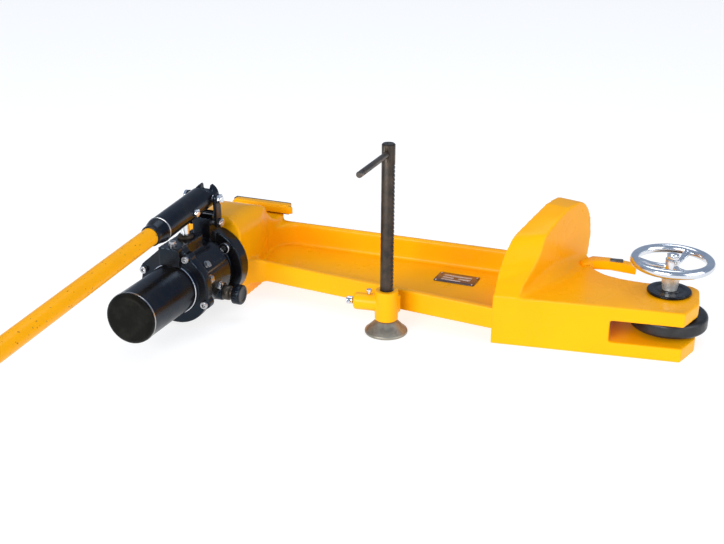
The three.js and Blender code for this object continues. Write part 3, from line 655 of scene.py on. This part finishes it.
def makeBeam():
    front, rear = beam["front"], beam["rear"]
    bars = [flangeBar(front, front["leftX"] - 30), flangeBar(rear, rear["leftX"] - 25)]
    left, right = beam["webLeft"], beam["right"]
    webPlan = [(left, flangeY(front, left) + 10), (right, flangeY(front, right) + 10),
               (right, flangeY(rear, right) + 4), (left, flangeY(rear, left) + 4)]
    web = slab(webPlan, beam["webZ"], beam["webZ"] + beam["webThick"])

    half, tail, depth, top = head["half"], head["tail"], head["depth"], head["top"]
    floor, shoulder, narrowed = -head["drop"], head["shoulder"], head["narrowed"]
    side = [(0, floor), (depth, floor), (depth, head["rearTop"]), (204, head["rearTop"] + 1),
            *curved((204, 32), (178, 38), (160, 60), steps=6),
            *curved((160, 60), (138, 89), (86, top), steps=8), (12, top), (0, top - 10)]
    flank = slab(side, -half - 2, half + 2, upright)
    arch = [(-half, floor), (half, floor), (half, shoulder),
            *curved((half, shoulder), (half, top), (16, top)),
            (-16, top), *curved((-16, top), (-half, top), (-half, shoulder))]
    arched = slab(arch, -depth - 2, 2, acrossY)
    plan = [(-half, 0), (half, 0), *curved((half, 82), (half, 112), (tail, narrowed), steps=6),
            (tail, depth), (-tail, depth), (-tail, narrowed),
            *curved((-tail, narrowed), (-half, 112), (-half, 82), steps=6)]
    planned = slab(plan, floor - 1, top + 1)
    for tool in (arched, planned):
        modified(flank, "BOOLEAN", object=tool, operation="INTERSECT", solver="EXACT")
        bpy.data.objects.remove(tool)
    settled(flank, pressPlace)

    # hollow wedges ease the flanges into the head's flank
    flankOut = Vector((cos(pressTurn), -sin(pressTurn)))
    flankAlong = Vector((sin(pressTurn), cos(pressTurn)))
    frontRun, rearRun = (
        Vector((beam["blockX"] - bar["leftX"], bar["rightY"] - bar["leftY"])).normalized()
        for bar in (front, rear))
    pressFlat = Vector((pressAt.x, pressAt.y)) / mm

    def meeting(flange, run, off, flankHalf):
        # where a flange's face crosses the flank
        origin = pressFlat + flankOut * flankHalf
        start = Vector((flange["leftX"], flange["leftY"] + off))
        gapTo = (origin - start).dot(flankOut)
        return start + run * (gapTo / run.dot(flankOut))

    low, high = front["z"] - 4, front["z"] + front["h"]
    outerFront = meeting(front, frontRun, 0, half)
    innerFront = meeting(front, frontRun, beam["thick"], half)
    innerRear = meeting(rear, rearRun, 0, tail)
    wedges = [cornerWedge(outerFront, -flankAlong, frontRun, 34, low, high + 6),
              cornerWedge(innerFront, flankAlong, frontRun, 26, low, high),
              cornerWedge(innerRear, -flankAlong, rearRun, 40, rear["z"], rear["z"] + rear["h"] - 4)]
    body = cast([*bars, web, flank, *wedges], beam["grain"], beam["rounds"])
    # the head's crown and the corners where the flanges leave it are well rounded
    toPress = pressPlace.inverted()

    def onCrown(point):
        x, y, z = toPress @ (point * mm) / mm
        return 40 < y < 300 and z > -40 and x > 10 and z > -8 - 0.5 * (x - 40)

    eased(body, onCrown, 26)
    end = head["boreEnd"]
    cut(body, drilled(head["boreR"], -5, end, 96, pressPlace @ upToY),
        drilled(head["rodR"], end - 10, depth + 18, 72, pressPlace @ upToY))
    return fitted(body, "beamAndHead", "yellow_paint", "frame",
                  ["front_flange", "rear_flange", "beam_web", "press_head"])


# a dark steel pad on the rail rest's top, standing in for shade there (painted shadow)
restPad = {"x": (98, 124), "y": (122, 138), "z": (104, 108.4)}


def makeRailRest():
    rest = softened(copied("rail_rest"), 2.0, 3)
    fitted(rest, "railRest", "yellow_paint", "frame", ["rail_rest"])
    # painted shadow: a dark steel pad on the top of the rest stands in for the shade that falls there
    pad = softened(block(*restPad["x"], *restPad["y"], *restPad["z"]), 1.0)
    fitted(pad, "restPad", "dark_steel", "frame")


legRod = {"r": 13, "low": 35, "top": 386, "pitch": 8, "teeth": 39, "root": 9.8, "crest": 12.6,
          "stemR": 9, "stemFrom": 5, "shoulder": 27.3}
crank = {"z": 367, "r": 6, "out": -150, "in": 20}


def makeLeg():
    place = Matrix.Translation(legAt)
    r, top, low = legRod["r"], legRod["top"], legRod["low"]
    stem, shoulder = legRod["stemR"], legRod["shoulder"]
    rod = turned([(stem, legRod["stemFrom"]), (stem, shoulder), (r - 1.5, shoulder),
                  (r, shoulder + 1.5), (r, top - 2), (r - 2, top), (3.2, top), (2.6, top - 2.5)], 64)
    pitch, root, crest = legRod["pitch"], legRod["root"], legRod["crest"]
    notch = [(crest + 5, 0.4), (root, 2.4), (root, 5.0), (crest + 5, 7.6)]
    tooth = slab(notch, -16, 16, mirrored)
    settled(tooth, moved(0, 0, low))
    # its faces are turned outwards again
    editing(tooth)
    doneEditing(tooth)
    modified(tooth, "ARRAY", count=legRod["teeth"], use_relative_offset=False,
             use_constant_offset=True, constant_offset_displace=(0, 0, pitch * mm))
    flat = block(crest, r + 4, -16, 16, low, low + pitch * legRod["teeth"])
    cr = crank["r"]
    crankHole = drilled(cr + 0.3, -30, 30, 32, upToY)
    crankPlace = moved(0, 0, crank["z"]) @ Matrix.Rotation(-pressTurn, 4, "Z")
    settled(crankHole, crankPlace)
    cut(rod, flat, tooth, crankHole)
    softened(rod, 0.35, 2, 40)
    settled(rod, place)
    fitted(rod, "legRackRod", "dark_steel", "rack_rod", ["leg_rack_rod"])

    out, end = crank["out"], crank["in"]
    bar = turned([(cr - 1.4, out), (cr, out + 1.6), (cr, out + 12), (cr - 0.7, out + 13),
                  (cr - 0.7, out + 16), (cr, out + 17), (cr, end - 1.6), (cr - 1.4, end)],
                 40, place @ crankPlace @ upToY)
    fitted(bar, "legCrankBar", "dark_steel", "rack_rod", ["leg_crank_bar"])

    foot = turned([(39.5, 0), (42, 0.6), (42.5, 2), (42.5, 5), (41.6, 6.4), (39.5, 7.6),
                   (24, 23), (22, 25.6), (20, 27), (9.4, 27), (9.3, 4.6)], 96, place)
    softened(foot, 0.5, 2, 30)
    fitted(foot, "legFoot", "dark_steel", "foot", ["leg_foot"], finish=footFinish)


collar = {"r": 23, "z": 28, "h": 62, "boreR": 13.6, "latchZ": 61, "latchR": 17, "latchLong": 42,
          "grain": 1.3, "rounds": 6}
collarScrew = {"at": (-35, 0, 78.3), "shankR": 3, "hexR": 5.77}


def latchPlace():
    # along the latch, outwards on +z
    return Matrix.Translation(legAt) @ moved(0, 0, collar["latchZ"]) @ upToX


def makeCollar():
    place = Matrix.Translation(legAt)
    x = legAt.x / mm
    r, z, h = collar["r"], collar["z"], collar["h"]
    tube = turned([(r - 1.4, z), (r, z + 1.4), (r, z + h - 1.6), (r - 1.6, z + h)], 96, place)
    lip = drilled(r - 3.4, z + h - 3, z + h, 96, place)
    slope = flangeY(beam["front"], x + 1) - flangeY(beam["front"], x)
    lug = block(-15, 15, 8, 34, 34, 70, Matrix.Rotation(atan2(slope, 1), 4, "Z"))
    settled(lug, place)
    outward = latchPlace()
    lr, reach = collar["latchR"], collar["r"] + collar["latchLong"]
    sleeve = turned([(lr - 3, -reach), (lr, -reach + 3), (lr, 0)], 72, outward)
    body = cast([tube, lip, lug, sleeve], collar["grain"], collar["rounds"])
    rodBore = drilled(collar["boreR"], 0, 120, 72, place)
    latchBore = turned([(5.2, -80), (5.2, -reach + 6), (9.0, -reach + 6.01), (9.0, 0)], 48, outward)
    cut(body, rodBore, latchBore)
    fitted(body, "legCollar", "yellow_paint", "frame", ["leg_collar", "latch_sleeve"])

    # the winged latch pull
    start = -reach
    stem = turned([(8.6, start + 26), (8.6, -14.8), (8.0, -14.2)], 48)
    neck = turned([(4.8, start - 16), (4.8, start + 27)], 40)
    button = turned([(6.6, start - 16), (8, start - 14.6), (8, start - 3.4), (6.6, start - 2)], 48)
    wings = turned([(2.2, -14), (3.4, -12.6), (3.7, -8), (3.0, 0), (3.7, 8), (3.4, 12.6), (2.2, 14)],
                   32, moved(0, 0, start - 9) @ upToY)
    pin = united(stem, cast([button, neck, wings], 0.7, 4))
    settled(pin, outward)
    fitted(pin, "latchPull", "chrome", "latch", ["latch_pin"])

    screwAt = Matrix.Translation(legAt) @ moved(*collarScrew["at"])
    shank = drilled(collarScrew["shankR"], 0, 5, 32, screwAt)
    screwHead = softened(drilled(collarScrew["hexR"], 4, 9.7, 6, screwAt), 0.6)
    cap = turned([(4.4, 9.4), (3.2, 10)], 32, screwAt)
    fitted(united(shank, screwHead, cap), "sleeveScrew", "chrome", "frame", ["sleeve_screw"])


roller = {"flatR": 66, "corner": 8, "low": 36, "high": 66, "hubR": 33, "boreR": 27}
wheel = {"r": 71, "rim": 9, "z": 165, "firstSpoke": 64, "spokes": 3, "spokeZ": 157, "boreR": 10.3}


# how high a spoke stands at a distance from the hub: it dips, then rises to meet the rim
def spokeHeight(reach):
    dip = 2.5 * sin(min(reach, 48) / 48 * pi)
    return wheel["spokeZ"] - dip + 8 * max(0, (reach - 24) / 47) ** 1.5


def makeRollerEnd():
    onWheel, onRoller = Matrix.Translation(wheelAt), Matrix.Translation(rollerAt)
    out, low, high = roller["hubR"] + 1.2, roller["low"], roller["high"]
    flatR, corner = roller["flatR"], roller["corner"]
    lowerEdge = arc(flatR, low + corner, corner, -90, 0, 9)
    upperEdge = arc(flatR, high - corner, corner, 0, 90, 9)
    disc = turned([(roller["hubR"], low), (out, low), *lowerEdge[1:], *upperEdge, (out, high),
                   (roller["hubR"], high)], 128, onRoller)
    cut(disc, drilled(roller["boreR"], 30, 70, 72, onRoller))
    softened(disc, 0.5, 2, 34)
    fitted(disc, "bendingRoller", "roller_steel", "roller", ["bending_roller"])

    bore = wheel["boreR"]
    shield = turned([(41.5, 101.3), (42.5, 102.3), (42.5, 105.6), (41.2, 107), (30, 107), (29, 106.2),
                     (22, 106.2), (21, 107)], 96, onWheel)
    cut(shield, drilled(bore, 98, 110, 48, onWheel))
    softened(shield, 0.35, 2, 30)
    fitted(shield, "dustDisc", "black_gloss", "eccentric", ["dust_disc"])

    only()
    bpy.ops.mesh.primitive_torus_add(
        major_segments=144, minor_segments=40, major_radius=wheel["r"] * mm,
        minor_radius=wheel["rim"] * mm, location=(0, 0, wheel["z"] * mm))
    rim = settled(bpy.context.object)
    # the turned boss under the hub is a bright sleeve of its own
    boss = turned([(13.7, 107.3), (14.5, 108), (18.4, 137.5), (18.9, 139.5), (18.9, 142),
                   (18, 143.6), (14.6, 146.2)], 96, onWheel)
    cut(boss, drilled(bore, 90, 180, 48, onWheel))
    fitted(boss, "wheelBoss", "chrome", "eccentric", sharp=40, finish=hubFinish)
    hub = turned([(13.2, 146.4), (13.5, 148), (13.5, 169.6), (12.2, 171)], 96)
    spokes = []
    for k in range(wheel["spokes"]):
        spoke = turned([(4.6, 6), (4.4, 20), (4.8, 40), (5.6, 60), (6.4, 72)], 36)
        editing(spoke)
        bpy.ops.transform.resize(value=(1, 1.35, 1), center_override=(0, 0, 0))
        doneEditing(spoke)
        settled(spoke, upToX)
        for vertex in spoke.data.vertices:
            vertex.co.z += spokeHeight(vertex.co.x / mm) * mm
        turn = wheel["firstSpoke"] + 360 / wheel["spokes"] * k
        settled(spoke, Matrix.Rotation(radians(turn), 4, "Z"))
        spokes.append(spoke)
    united(hub, *spokes)
    united(rim, hub)
    cut(rim, drilled(bore, 90, 180))
    settled(rim, onWheel)
    softened(rim, 0.5, 2, 42)
    fitted(rim, "handwheel", "chrome", "eccentric", ["handwheel"], sharp=40)

    nut = softened(drilled(12.7, 171.3, 178.6, 6, onWheel), 0.7)
    dome = turned([(9.6, 177.5), (9, 179.5), (7.4, 181), (4.6, 181.8), (1.5, 182)], 48, onWheel)
    fitted(united(nut, dome), "wheelNut", "chrome", "eccentric", ["wheel_nut"])


tank = {"r": 50, "front": -338, "back": -176, "cap": 15, "capRound": 11}
pump = {"front": -169, "back": -148, "r": 75, "boltR": 72, "bolts": (65, -20, 155, 245),
        "mountR": 66, "mountY": -32, "mounts": (45, 135, 225, 315), "grain": 1.7, "rounds": 5}
valve = {"y": -88, "z": -30}
plugs = [(-126, 38), (-136, 14), (-104, -8)]  # along the pump, and degrees above level
plungerY = linkage["pivot"][0] - linkage["pinReach"] * cos(radians(linkage["slope"]))
onY = pressPlace @ upToY
screwTurn = Matrix.Rotation(radians(90), 4, "X")


def polar(radius, angle):
    return radius * cos(radians(angle)), radius * sin(radians(angle))


# turns a solid standing on z so that it points out of the pump's side at an angle above level
def turnedTo(angle):
    return Matrix.Rotation(radians(90 - angle), 4, "Y")


def makeReservoir():
    r, front, back, curve = tank["r"], tank["front"], tank["back"], tank["capRound"]
    rim = front + tank["cap"]
    tube = turned([(r - 4, rim), (r - 1.2, rim), (r, rim + 1.2), (r, back - 10), (r + 1, back - 8),
                   (r + 1, back - 1), (r, back)], 128, onY)
    fitted(tube, "reservoirTube", "black_gloss", "frame", ["reservoir_tube"])
    corner = arc(r - curve, front + curve, curve, -80, 0, 8)
    cap = turned([(8, front + 1.2), (26, front + 0.8), (r - curve, front + 0.2), *corner,
                  (r, rim - 2.6), (r - 0.6, rim - 2), (r - 0.6, rim - 0.3)], 128, onY)
    fitted(cap, "reservoirCap", "black_matt", "frame", ["reservoir_cap"])
    # painted highlight: a bright steel bead between the cap and the tube stands in for the highlight on the cap's
    # rounded edge
    highlightBead = turned([(r - 2, rim - 1.8), (r + 0.5, rim - 1.6), (r + 0.9, rim - 0.2),
                   (r + 0.5, rim + 1.4), (r - 2, rim + 1.6)], 128, onY)
    fitted(highlightBead, "capBead", "steel", "frame")
    ring = turned([(r - 2, back + 0.3), (r + 1.5, back + 0.3), (r + 2.5, back + 1.3),
                   (r + 2.5, back + 5.7), (r + 1.5, back + 6.7), (r - 2, back + 6.7)], 128, onY)
    fitted(ring, "reservoirRing", "chrome", "frame", ["reservoir_ring"])


def socketScrew(radius, foot, top, place, name, slot, node):
    body = turned([(radius, foot), (radius, top - 1), (radius - 1, top), (radius - 1.6, top)], 48)
    cut(body, drilled(radius * 0.52, top - radius * 0.8, top + 1, 6))
    softened(body, 0.25, 2, 40)
    settled(body, place)
    fitted(body, name, slot, "frame", [node])
    if slot == "black_gloss":
        # painted highlight: a bright steel ring round a black screw's head stands in for the highlight on its
        # chamfer
        rimHighlight = turned([(radius - 2.2, top - 0.3), (radius - 0.6, top - 0.1), (radius + 0.3, top - 1.2),
                      (radius + 0.3, top - 2.2)], 64, place)
        fitted(rimHighlight, name + "Rim", "steel", "frame")


def makePumpBody():
    front, back, r = pump["front"], pump["back"], pump["r"]
    lugPlace = pressPlace @ moved(0, lugY, lugZ) @ upToX
    valvePlace = pressPlace @ moved(0, valve["y"], valve["z"]) @ upToX
    solids = [turned([(r - 1.5, front), (r, front + 1.5), (r, back - 2), (r - 2, back)], 120, onY)]
    for angle in pump["bolts"]:
        x, z = polar(pump["boltR"] - 1, angle)
        ear = turned([(10, front), (11.4, front + 1.5), (11.4, back - 2), (10, back)], 48)
        solids.append(settled(ear, pressPlace @ moved(x, 0, z) @ upToY))
    solids.append(turned([(66, back - 4), (66, -56), (64, -48), (54, -44), (53, -30)], 120, onY))
    solids.append(turned([(77.5, -32), (79, -30.5), (79, -1.8), (77.5, -0.4)], 128, onY))
    solids.append(block(-22, 22, -184, -84, 50, 88, pressPlace))
    # the flange runs straight from the oil block out to its ears
    solids.append(slab([(-22, 84), (-72, 40), (-50, 5), (50, 5), (38, 62), (22, 84)],
                       0.5 - back, -0.5 - front, pressPlace @ acrossY))
    solids.append(block(-20, 20, -52, -22, 46, 110, pressPlace))
    solids.append(drilled(15, -20, 20, 64, lugPlace))
    solids.append(turned([(19, 36), (17, 54), (17, 66), (16, 68)], 64, valvePlace))
    # bosses under the check valve plugs, and a rib between them
    for y, angle in plugs:
        pad = turned([(11, 52), (9.6, 66.2)], 40, moved(0, y, 0) @ turnedTo(angle))
        solids.append(settled(pad, pressPlace))
    rib = block(40, 69, -140, -60, -4, 4, Matrix.Rotation(radians(-30), 4, "Y"))
    solids.append(settled(rib, pressPlace))
    body = cast(solids, pump["grain"], pump["rounds"])
    plungerBore = drilled(9.15, 20, 200, 48, pressPlace @ moved(0, plungerY, 0))
    mouth = drilled(40, front - 1, front + 60, 96, onY)
    cut(body, plungerBore, drilled(7.3, -30, 30, 48, lugPlace), mouth)
    fitted(body, "pumpBody", "black_gloss", "frame", ["pump_body"])

    for i, angle in enumerate(pump["bolts"], 1):
        x, z = polar(pump["boltR"], angle)
        place = pressPlace @ moved(x, front, z) @ screwTurn
        socketScrew(7.5, 0.3, 8, place, f"reservoirBolt{i}", "steel", f"reservoir_bolt_{i}")
    for i, angle in enumerate(pump["mounts"], 1):
        x, z = polar(pump["mountR"], angle)
        place = pressPlace @ moved(x, pump["mountY"], z) @ screwTurn
        socketScrew(11, 0.3, 14, place, f"mountScrew{i}", "black_gloss", f"mount_screw_{i}")


knob = {"grooves": 20, "grooveR": 2.1, "grooveAt": 21.9}


def makePumpFittings():
    for i, (y, angle) in enumerate(plugs, 1):
        place = pressPlace @ moved(0, y, 0) @ turnedTo(angle)
        washer = drilled(8.6, 66.2, 67.2, 40)
        plug = softened(drilled(7.5, 66.5, 71.8, 6), 0.7)
        dome = turned([(5.6, 71.4), (4.6, 72.0)], 32)
        fitted(settled(united(plug, washer, dome), place), f"checkValvePlug{i}", "steel", "frame",
               [f"check_valve_plug_{i}"])
    place = pressPlace @ moved(0, -166, 0)
    seat = turned([(8, 88.3), (8, 91.6), (7.4, 92)], 48)
    cap = softened(drilled(6.9, 91.4, 97.8, 6), 0.6)
    fitted(settled(united(seat, cap), place), "fillerPlug", "steel", "frame", ["filler_plug"])

    place = pressPlace @ moved(0, valve["y"], valve["z"]) @ upToX
    stem = turned([(15, 68.3), (15, 80), (14, 82), (11, 84), (11, 90)], 64, place)
    softened(stem, 0.4)
    fitted(stem, "releaseValve", "dark_steel", "frame", ["release_valve"])
    grip = turned([(17, 90.3), (20.4, 92), (20.4, 107), (18.6, 109), (13, 109), (12, 108)], 80)
    groove = drilled(knob["grooveR"], 88, 112, 16, moved(knob["grooveAt"], 0, 0))
    grooves = []
    for k in range(knob["grooves"]):
        grooves.append(groove.copy())
        grooves[-1].data = groove.data.copy()
        bpy.context.scene.collection.objects.link(grooves[-1])
        settled(grooves[-1], Matrix.Rotation(2 * pi * k / knob["grooves"], 4, "Z"))
    bpy.data.objects.remove(groove)
    only(*grooves)
    bpy.ops.object.join()
    cut(grip, bpy.context.object)
    softened(grip, 0.3, 2, 38)
    settled(grip, place)
    fitted(grip, "releaseKnob", "black_gloss", "valve_knob", ["release_knob"])

    place = pressPlace @ moved(0, plungerY, 0)
    gland = turned([(16, 88.3), (16, 92.4), (13, 96), (11, 96)], 64, place)
    cut(gland, drilled(9.15, 80, 100, 48, place))
    fitted(softened(gland, 0.3), "plungerGland", "dark_steel", "frame", ["plunger_gland"])


lever = {"r": 17.5, "free": 870, "from": 104, "socketR": 25, "slot": 10.5, "grain": 1.15, "rounds": 5}
link = {"r": 11, "inner": 27.3, "thick": 7, "bridgeZ": 118.5, "bridgeR": 4}
# r is the shank, seat where the head sits on each side, hex the far end and button the near one
bolts = {
    "linkBolt": {"r": 7, "seat": 34.8, "hex": (9.8, 41), "button": (9.5, -40),
                 "body": "link", "slot": "steel", "node": "link_pin"},
    "pivotBolt": {"r": 8, "seat": 34.8, "hex": (10.4, 42), "button": (10.5, -41),
                  "body": "lever", "slot": "chrome", "node": "lever_pivot_pin"},
    "plungerBolt": {"r": 6, "seat": 25.5, "hex": (8.66, 32), "button": (8.5, -31),
                    "body": "lever", "slot": "chrome", "node": "plunger_pin"},
}


def makeLever():
    pivotY, pivotZ = linkage["pivot"]
    place = pressPlace @ moved(0, pivotY, pivotZ)
    place = place @ Matrix.Rotation(radians(90 + linkage["slope"]), 4, "X")
    barrel = turned([(20, -26), (23, -25), (25, -22), (25, 178), (24.4, 181), (21.5, 193),
                     (20.6, 196), (20.4, 206), (19.4, 207)], 96)
    half = lever["slot"]
    slot = block(-half, half, -40, 9, 46, 94)
    cleft = block(-half, half, 9, 40, -27, -3)
    crossCut = drilled(13, -60, 60, 72, moved(0, 26, 0) @ upToX)
    # the lower rear corner is a quarter round about the pivot, which passes the link's bridge
    corner = cut(block(-30, 30, -30, 0, -30, 0), drilled(lever["socketR"] + 0.1, -31, 31, 96, upToX))
    body = cast([cut(barrel, slot, cleft, crossCut, corner)], lever["grain"], lever["rounds"])
    cut(body, drilled(8.3, -60, 60, 48, upToX),
        drilled(6.15, -60, 60, 48, moved(0, 0, linkage["pinReach"]) @ upToX),
        drilled(17.8, 103.7, 212, 72))
    settled(body, place)
    fitted(body, "leverSocket", "black_gloss", "lever", ["lever_socket"])
    seam = turned([(24.8, 170.6), (25.5, 171), (25.7, 172.2), (25.5, 173.4), (24.8, 173.8)],
                  96, place)
    fitted(seam, "socketSeam", "steel", "lever")

    r, free = lever["r"], lever["free"]
    tube = turned([(r, lever["from"]), (r, free - 1.4), (r - 1.4, free), (r - 3.2, free),
                   (r - 3.6, free - 1), (r - 3.6, free - 60)], 72, place)
    fitted(tube, "leverTube", "yellow_paint", "lever", ["pump_lever"])


def makeLink():
    pivotY, pivotZ = linkage["pivot"]
    lean = atan2(pivotY - lugY, pivotZ - lugZ)
    reach = hypot(pivotY - lugY, pivotZ - lugZ)
    shape = [*arc(0, 0, link["r"], 180, 360), *arc(0, reach, link["r"], 0, 180)]
    inner, thick = link["inner"], link["thick"]
    sides = []
    for low in (-inner - thick, inner):
        plate = slab(shape, low, low + thick)
        softened(plate, 1.0, 2)
        sides.append(settled(plate, moved(0, lugY, lugZ) @ Matrix.Rotation(-lean, 4, "X") @ upright))
    bridge = drilled(link["bridgeR"], -inner - 1, inner + 1, 32,
                     moved(0, lugY, link["bridgeZ"]) @ upToX)
    plates = united(bridge, *sides)
    for y, z, bore in ((lugY, lugZ, 7.3), (pivotY, pivotZ, 8.3)):
        cut(plates, drilled(bore, -60, 60, 48, moved(0, y, z) @ upToX))
    settled(plates, pressPlace)
    fitted(plates, "fulcrumLink", "black_gloss", "link", ["fulcrum_link"])

    pinZ = pivotZ - linkage["pinReach"] * sin(radians(linkage["slope"]))
    places = ((lugY, lugZ), (pivotY, pivotZ), (plungerY, pinZ))
    for (name, bolt), (y, z) in zip(bolts.items(), places):
        r, seat = bolt["r"], bolt["seat"]
        hexR, far = bolt["hex"]
        nearR, near = bolt["button"]
        shank = drilled(r, -seat - 1, seat + 1)
        hexEnd = softened(drilled(hexR, seat, far, 6), 0.8)
        button = turned([(nearR - 1.2, near), (nearR, near + 1.2), (nearR, -seat)], 48)
        tip = turned([(r - 1, far - 1), (r - 1, far + 1.2), (r - 2, far + 2)], 32)
        made = united(shank, hexEnd, button, tip)
        settled(made, pressPlace @ moved(0, y, z) @ upToX)
        fitted(made, name, bolt["slot"], bolt["body"], [bolt["node"]])


guard = {"x": (-74, 60), "reach": 9, "z": (46, 53)}


def makeShoe():
    shoe = softened(copied("ram_shoe"), 1.6, 3)
    fitted(shoe, "ramShoe", "dark_steel", "ram", ["ram_shoe"])
    # the guard is folded back over most of the shoe's top
    face, reach = head["depth"], guard["reach"]
    fold = block(*guard["x"], face - reach, face + reach, *guard["z"], pressPlace)
    folded = softened(united(copied("shoe_guard"), fold), 2.2, 3)
    fitted(folded, "shoeGuard", "yellow_paint", "ram", ["shoe_guard"])


# the coil springs and the joints they belong to
springs = {
    "returnSpring": {"node": "return_spring", "joint": "ram_slide", "from": 36.3, "to": 135.4, "turns": 5,
                     "r": 27, "wire": 2.5, "fixed": 135.4, "travel": 70},
    "latchSpring": {"node": "latch_spring", "joint": "latch_pull", "from": -58, "to": -40, "turns": 5,
                    "r": 6.7, "wire": 1.0, "fixed": -58, "travel": 6},
}


def makeSprings():
    for name, place in (("returnSpring", onY), ("latchSpring", latchPlace())):
        spring = springs[name]
        r, wire, turns = spring["r"], spring["wire"], spring["turns"]
        low, high = spring["from"] + wire, spring["to"] - wire
        steps = turns * 36
        only()
        data = bpy.data.curves.new(name, "CURVE")
        data.dimensions = "3D"
        data.bevel_depth = wire * mm
        data.bevel_resolution = 5
        data.use_fill_caps = True
        line = data.splines.new("POLY")
        line.points.add(steps)
        for k, point in enumerate(line.points):
            angle = 2 * pi * turns * k / steps
            height = low + (high - low) * k / steps
            point.co = (*(Vector((r * cos(angle), r * sin(angle), height)) * mm), 1)
        obj = bpy.data.objects.new(name, data)
        bpy.context.scene.collection.objects.link(obj)
        only(obj)
        bpy.ops.object.convert(target="MESH")
        settled(bpy.context.object, place)
        fitted(bpy.context.object, name, "dark_steel", "frame", [spring["node"]], sharp=60)
        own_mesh(bpy.data.objects[name])


# the data plate is left blank but for ruled boxes
plate = {
    "at": (-211, 86, 50.3), "turn": -9, "half": (44, 25), "thick": 1.5, "corner": 4, "rivetIn": 5,
    "boxes": [(-30, 30, 8, 14), (-30, -6, -4, 2), (4, 30, -4, 2), (-30, 12, -15, -10)],
}


def makePlate():
    hx, hy = plate["half"]
    place = moved(*plate["at"]) @ Matrix.Rotation(radians(plate["turn"]), 4, "Z")
    r = plate["corner"]
    corners = []
    for quarter, (x, y) in enumerate(((1, 1), (-1, 1), (-1, -1), (1, -1))):
        corners += arc(x * (hx - r), y * (hy - r), r, 90 * quarter, 90 * quarter + 90, 5)
    sheet = softened(slab(corners, 0, plate["thick"], place), 0.4)
    fitted(sheet, "dataPlate", "plate", "frame", ["data_plate"])
    for i, (x, y) in enumerate(((-1, -1), (1, -1), (1, 1), (-1, 1)), 1):
        rivet = turned([(2.4, 1.2), (2.4, 1.7), (2.0, 2.4), (1.1, 2.8)], 24)
        settled(rivet, place @ moved(x * (hx - plate["rivetIn"]), y * (hy - plate["rivetIn"]), 0))
        fitted(rivet, f"plateRivet{i}", "steel", "frame")
    for i, (x0, x1, y0, y1) in enumerate(plate["boxes"], 1):
        mark = softened(block(x0, x1, y0, y1, 1.3, 1.75, place), 0.15)
        fitted(mark, f"plateBox{i}", "plate", "frame", finish=markFinish)


makeCamera()
makeStudio()
print("camera and studio ready")
for name, node in frame["nodes"].items():
    rowSlot = next(p["material_slot"] for p in frame["record"]["subparts"] if p["node"] == name)
    node.data.materials.clear()
    node.data.materials.append(finishes[rowSlot])
for make in (makeCastEnd, makeBeam, makeRailRest, makeLeg, makeCollar, makeRollerEnd, makeReservoir,
             makePumpBody, makePumpFittings, makeLever, makeLink, makeShoe, makeSprings, makePlate):
    make()
    print(make.__name__[4:], "made")
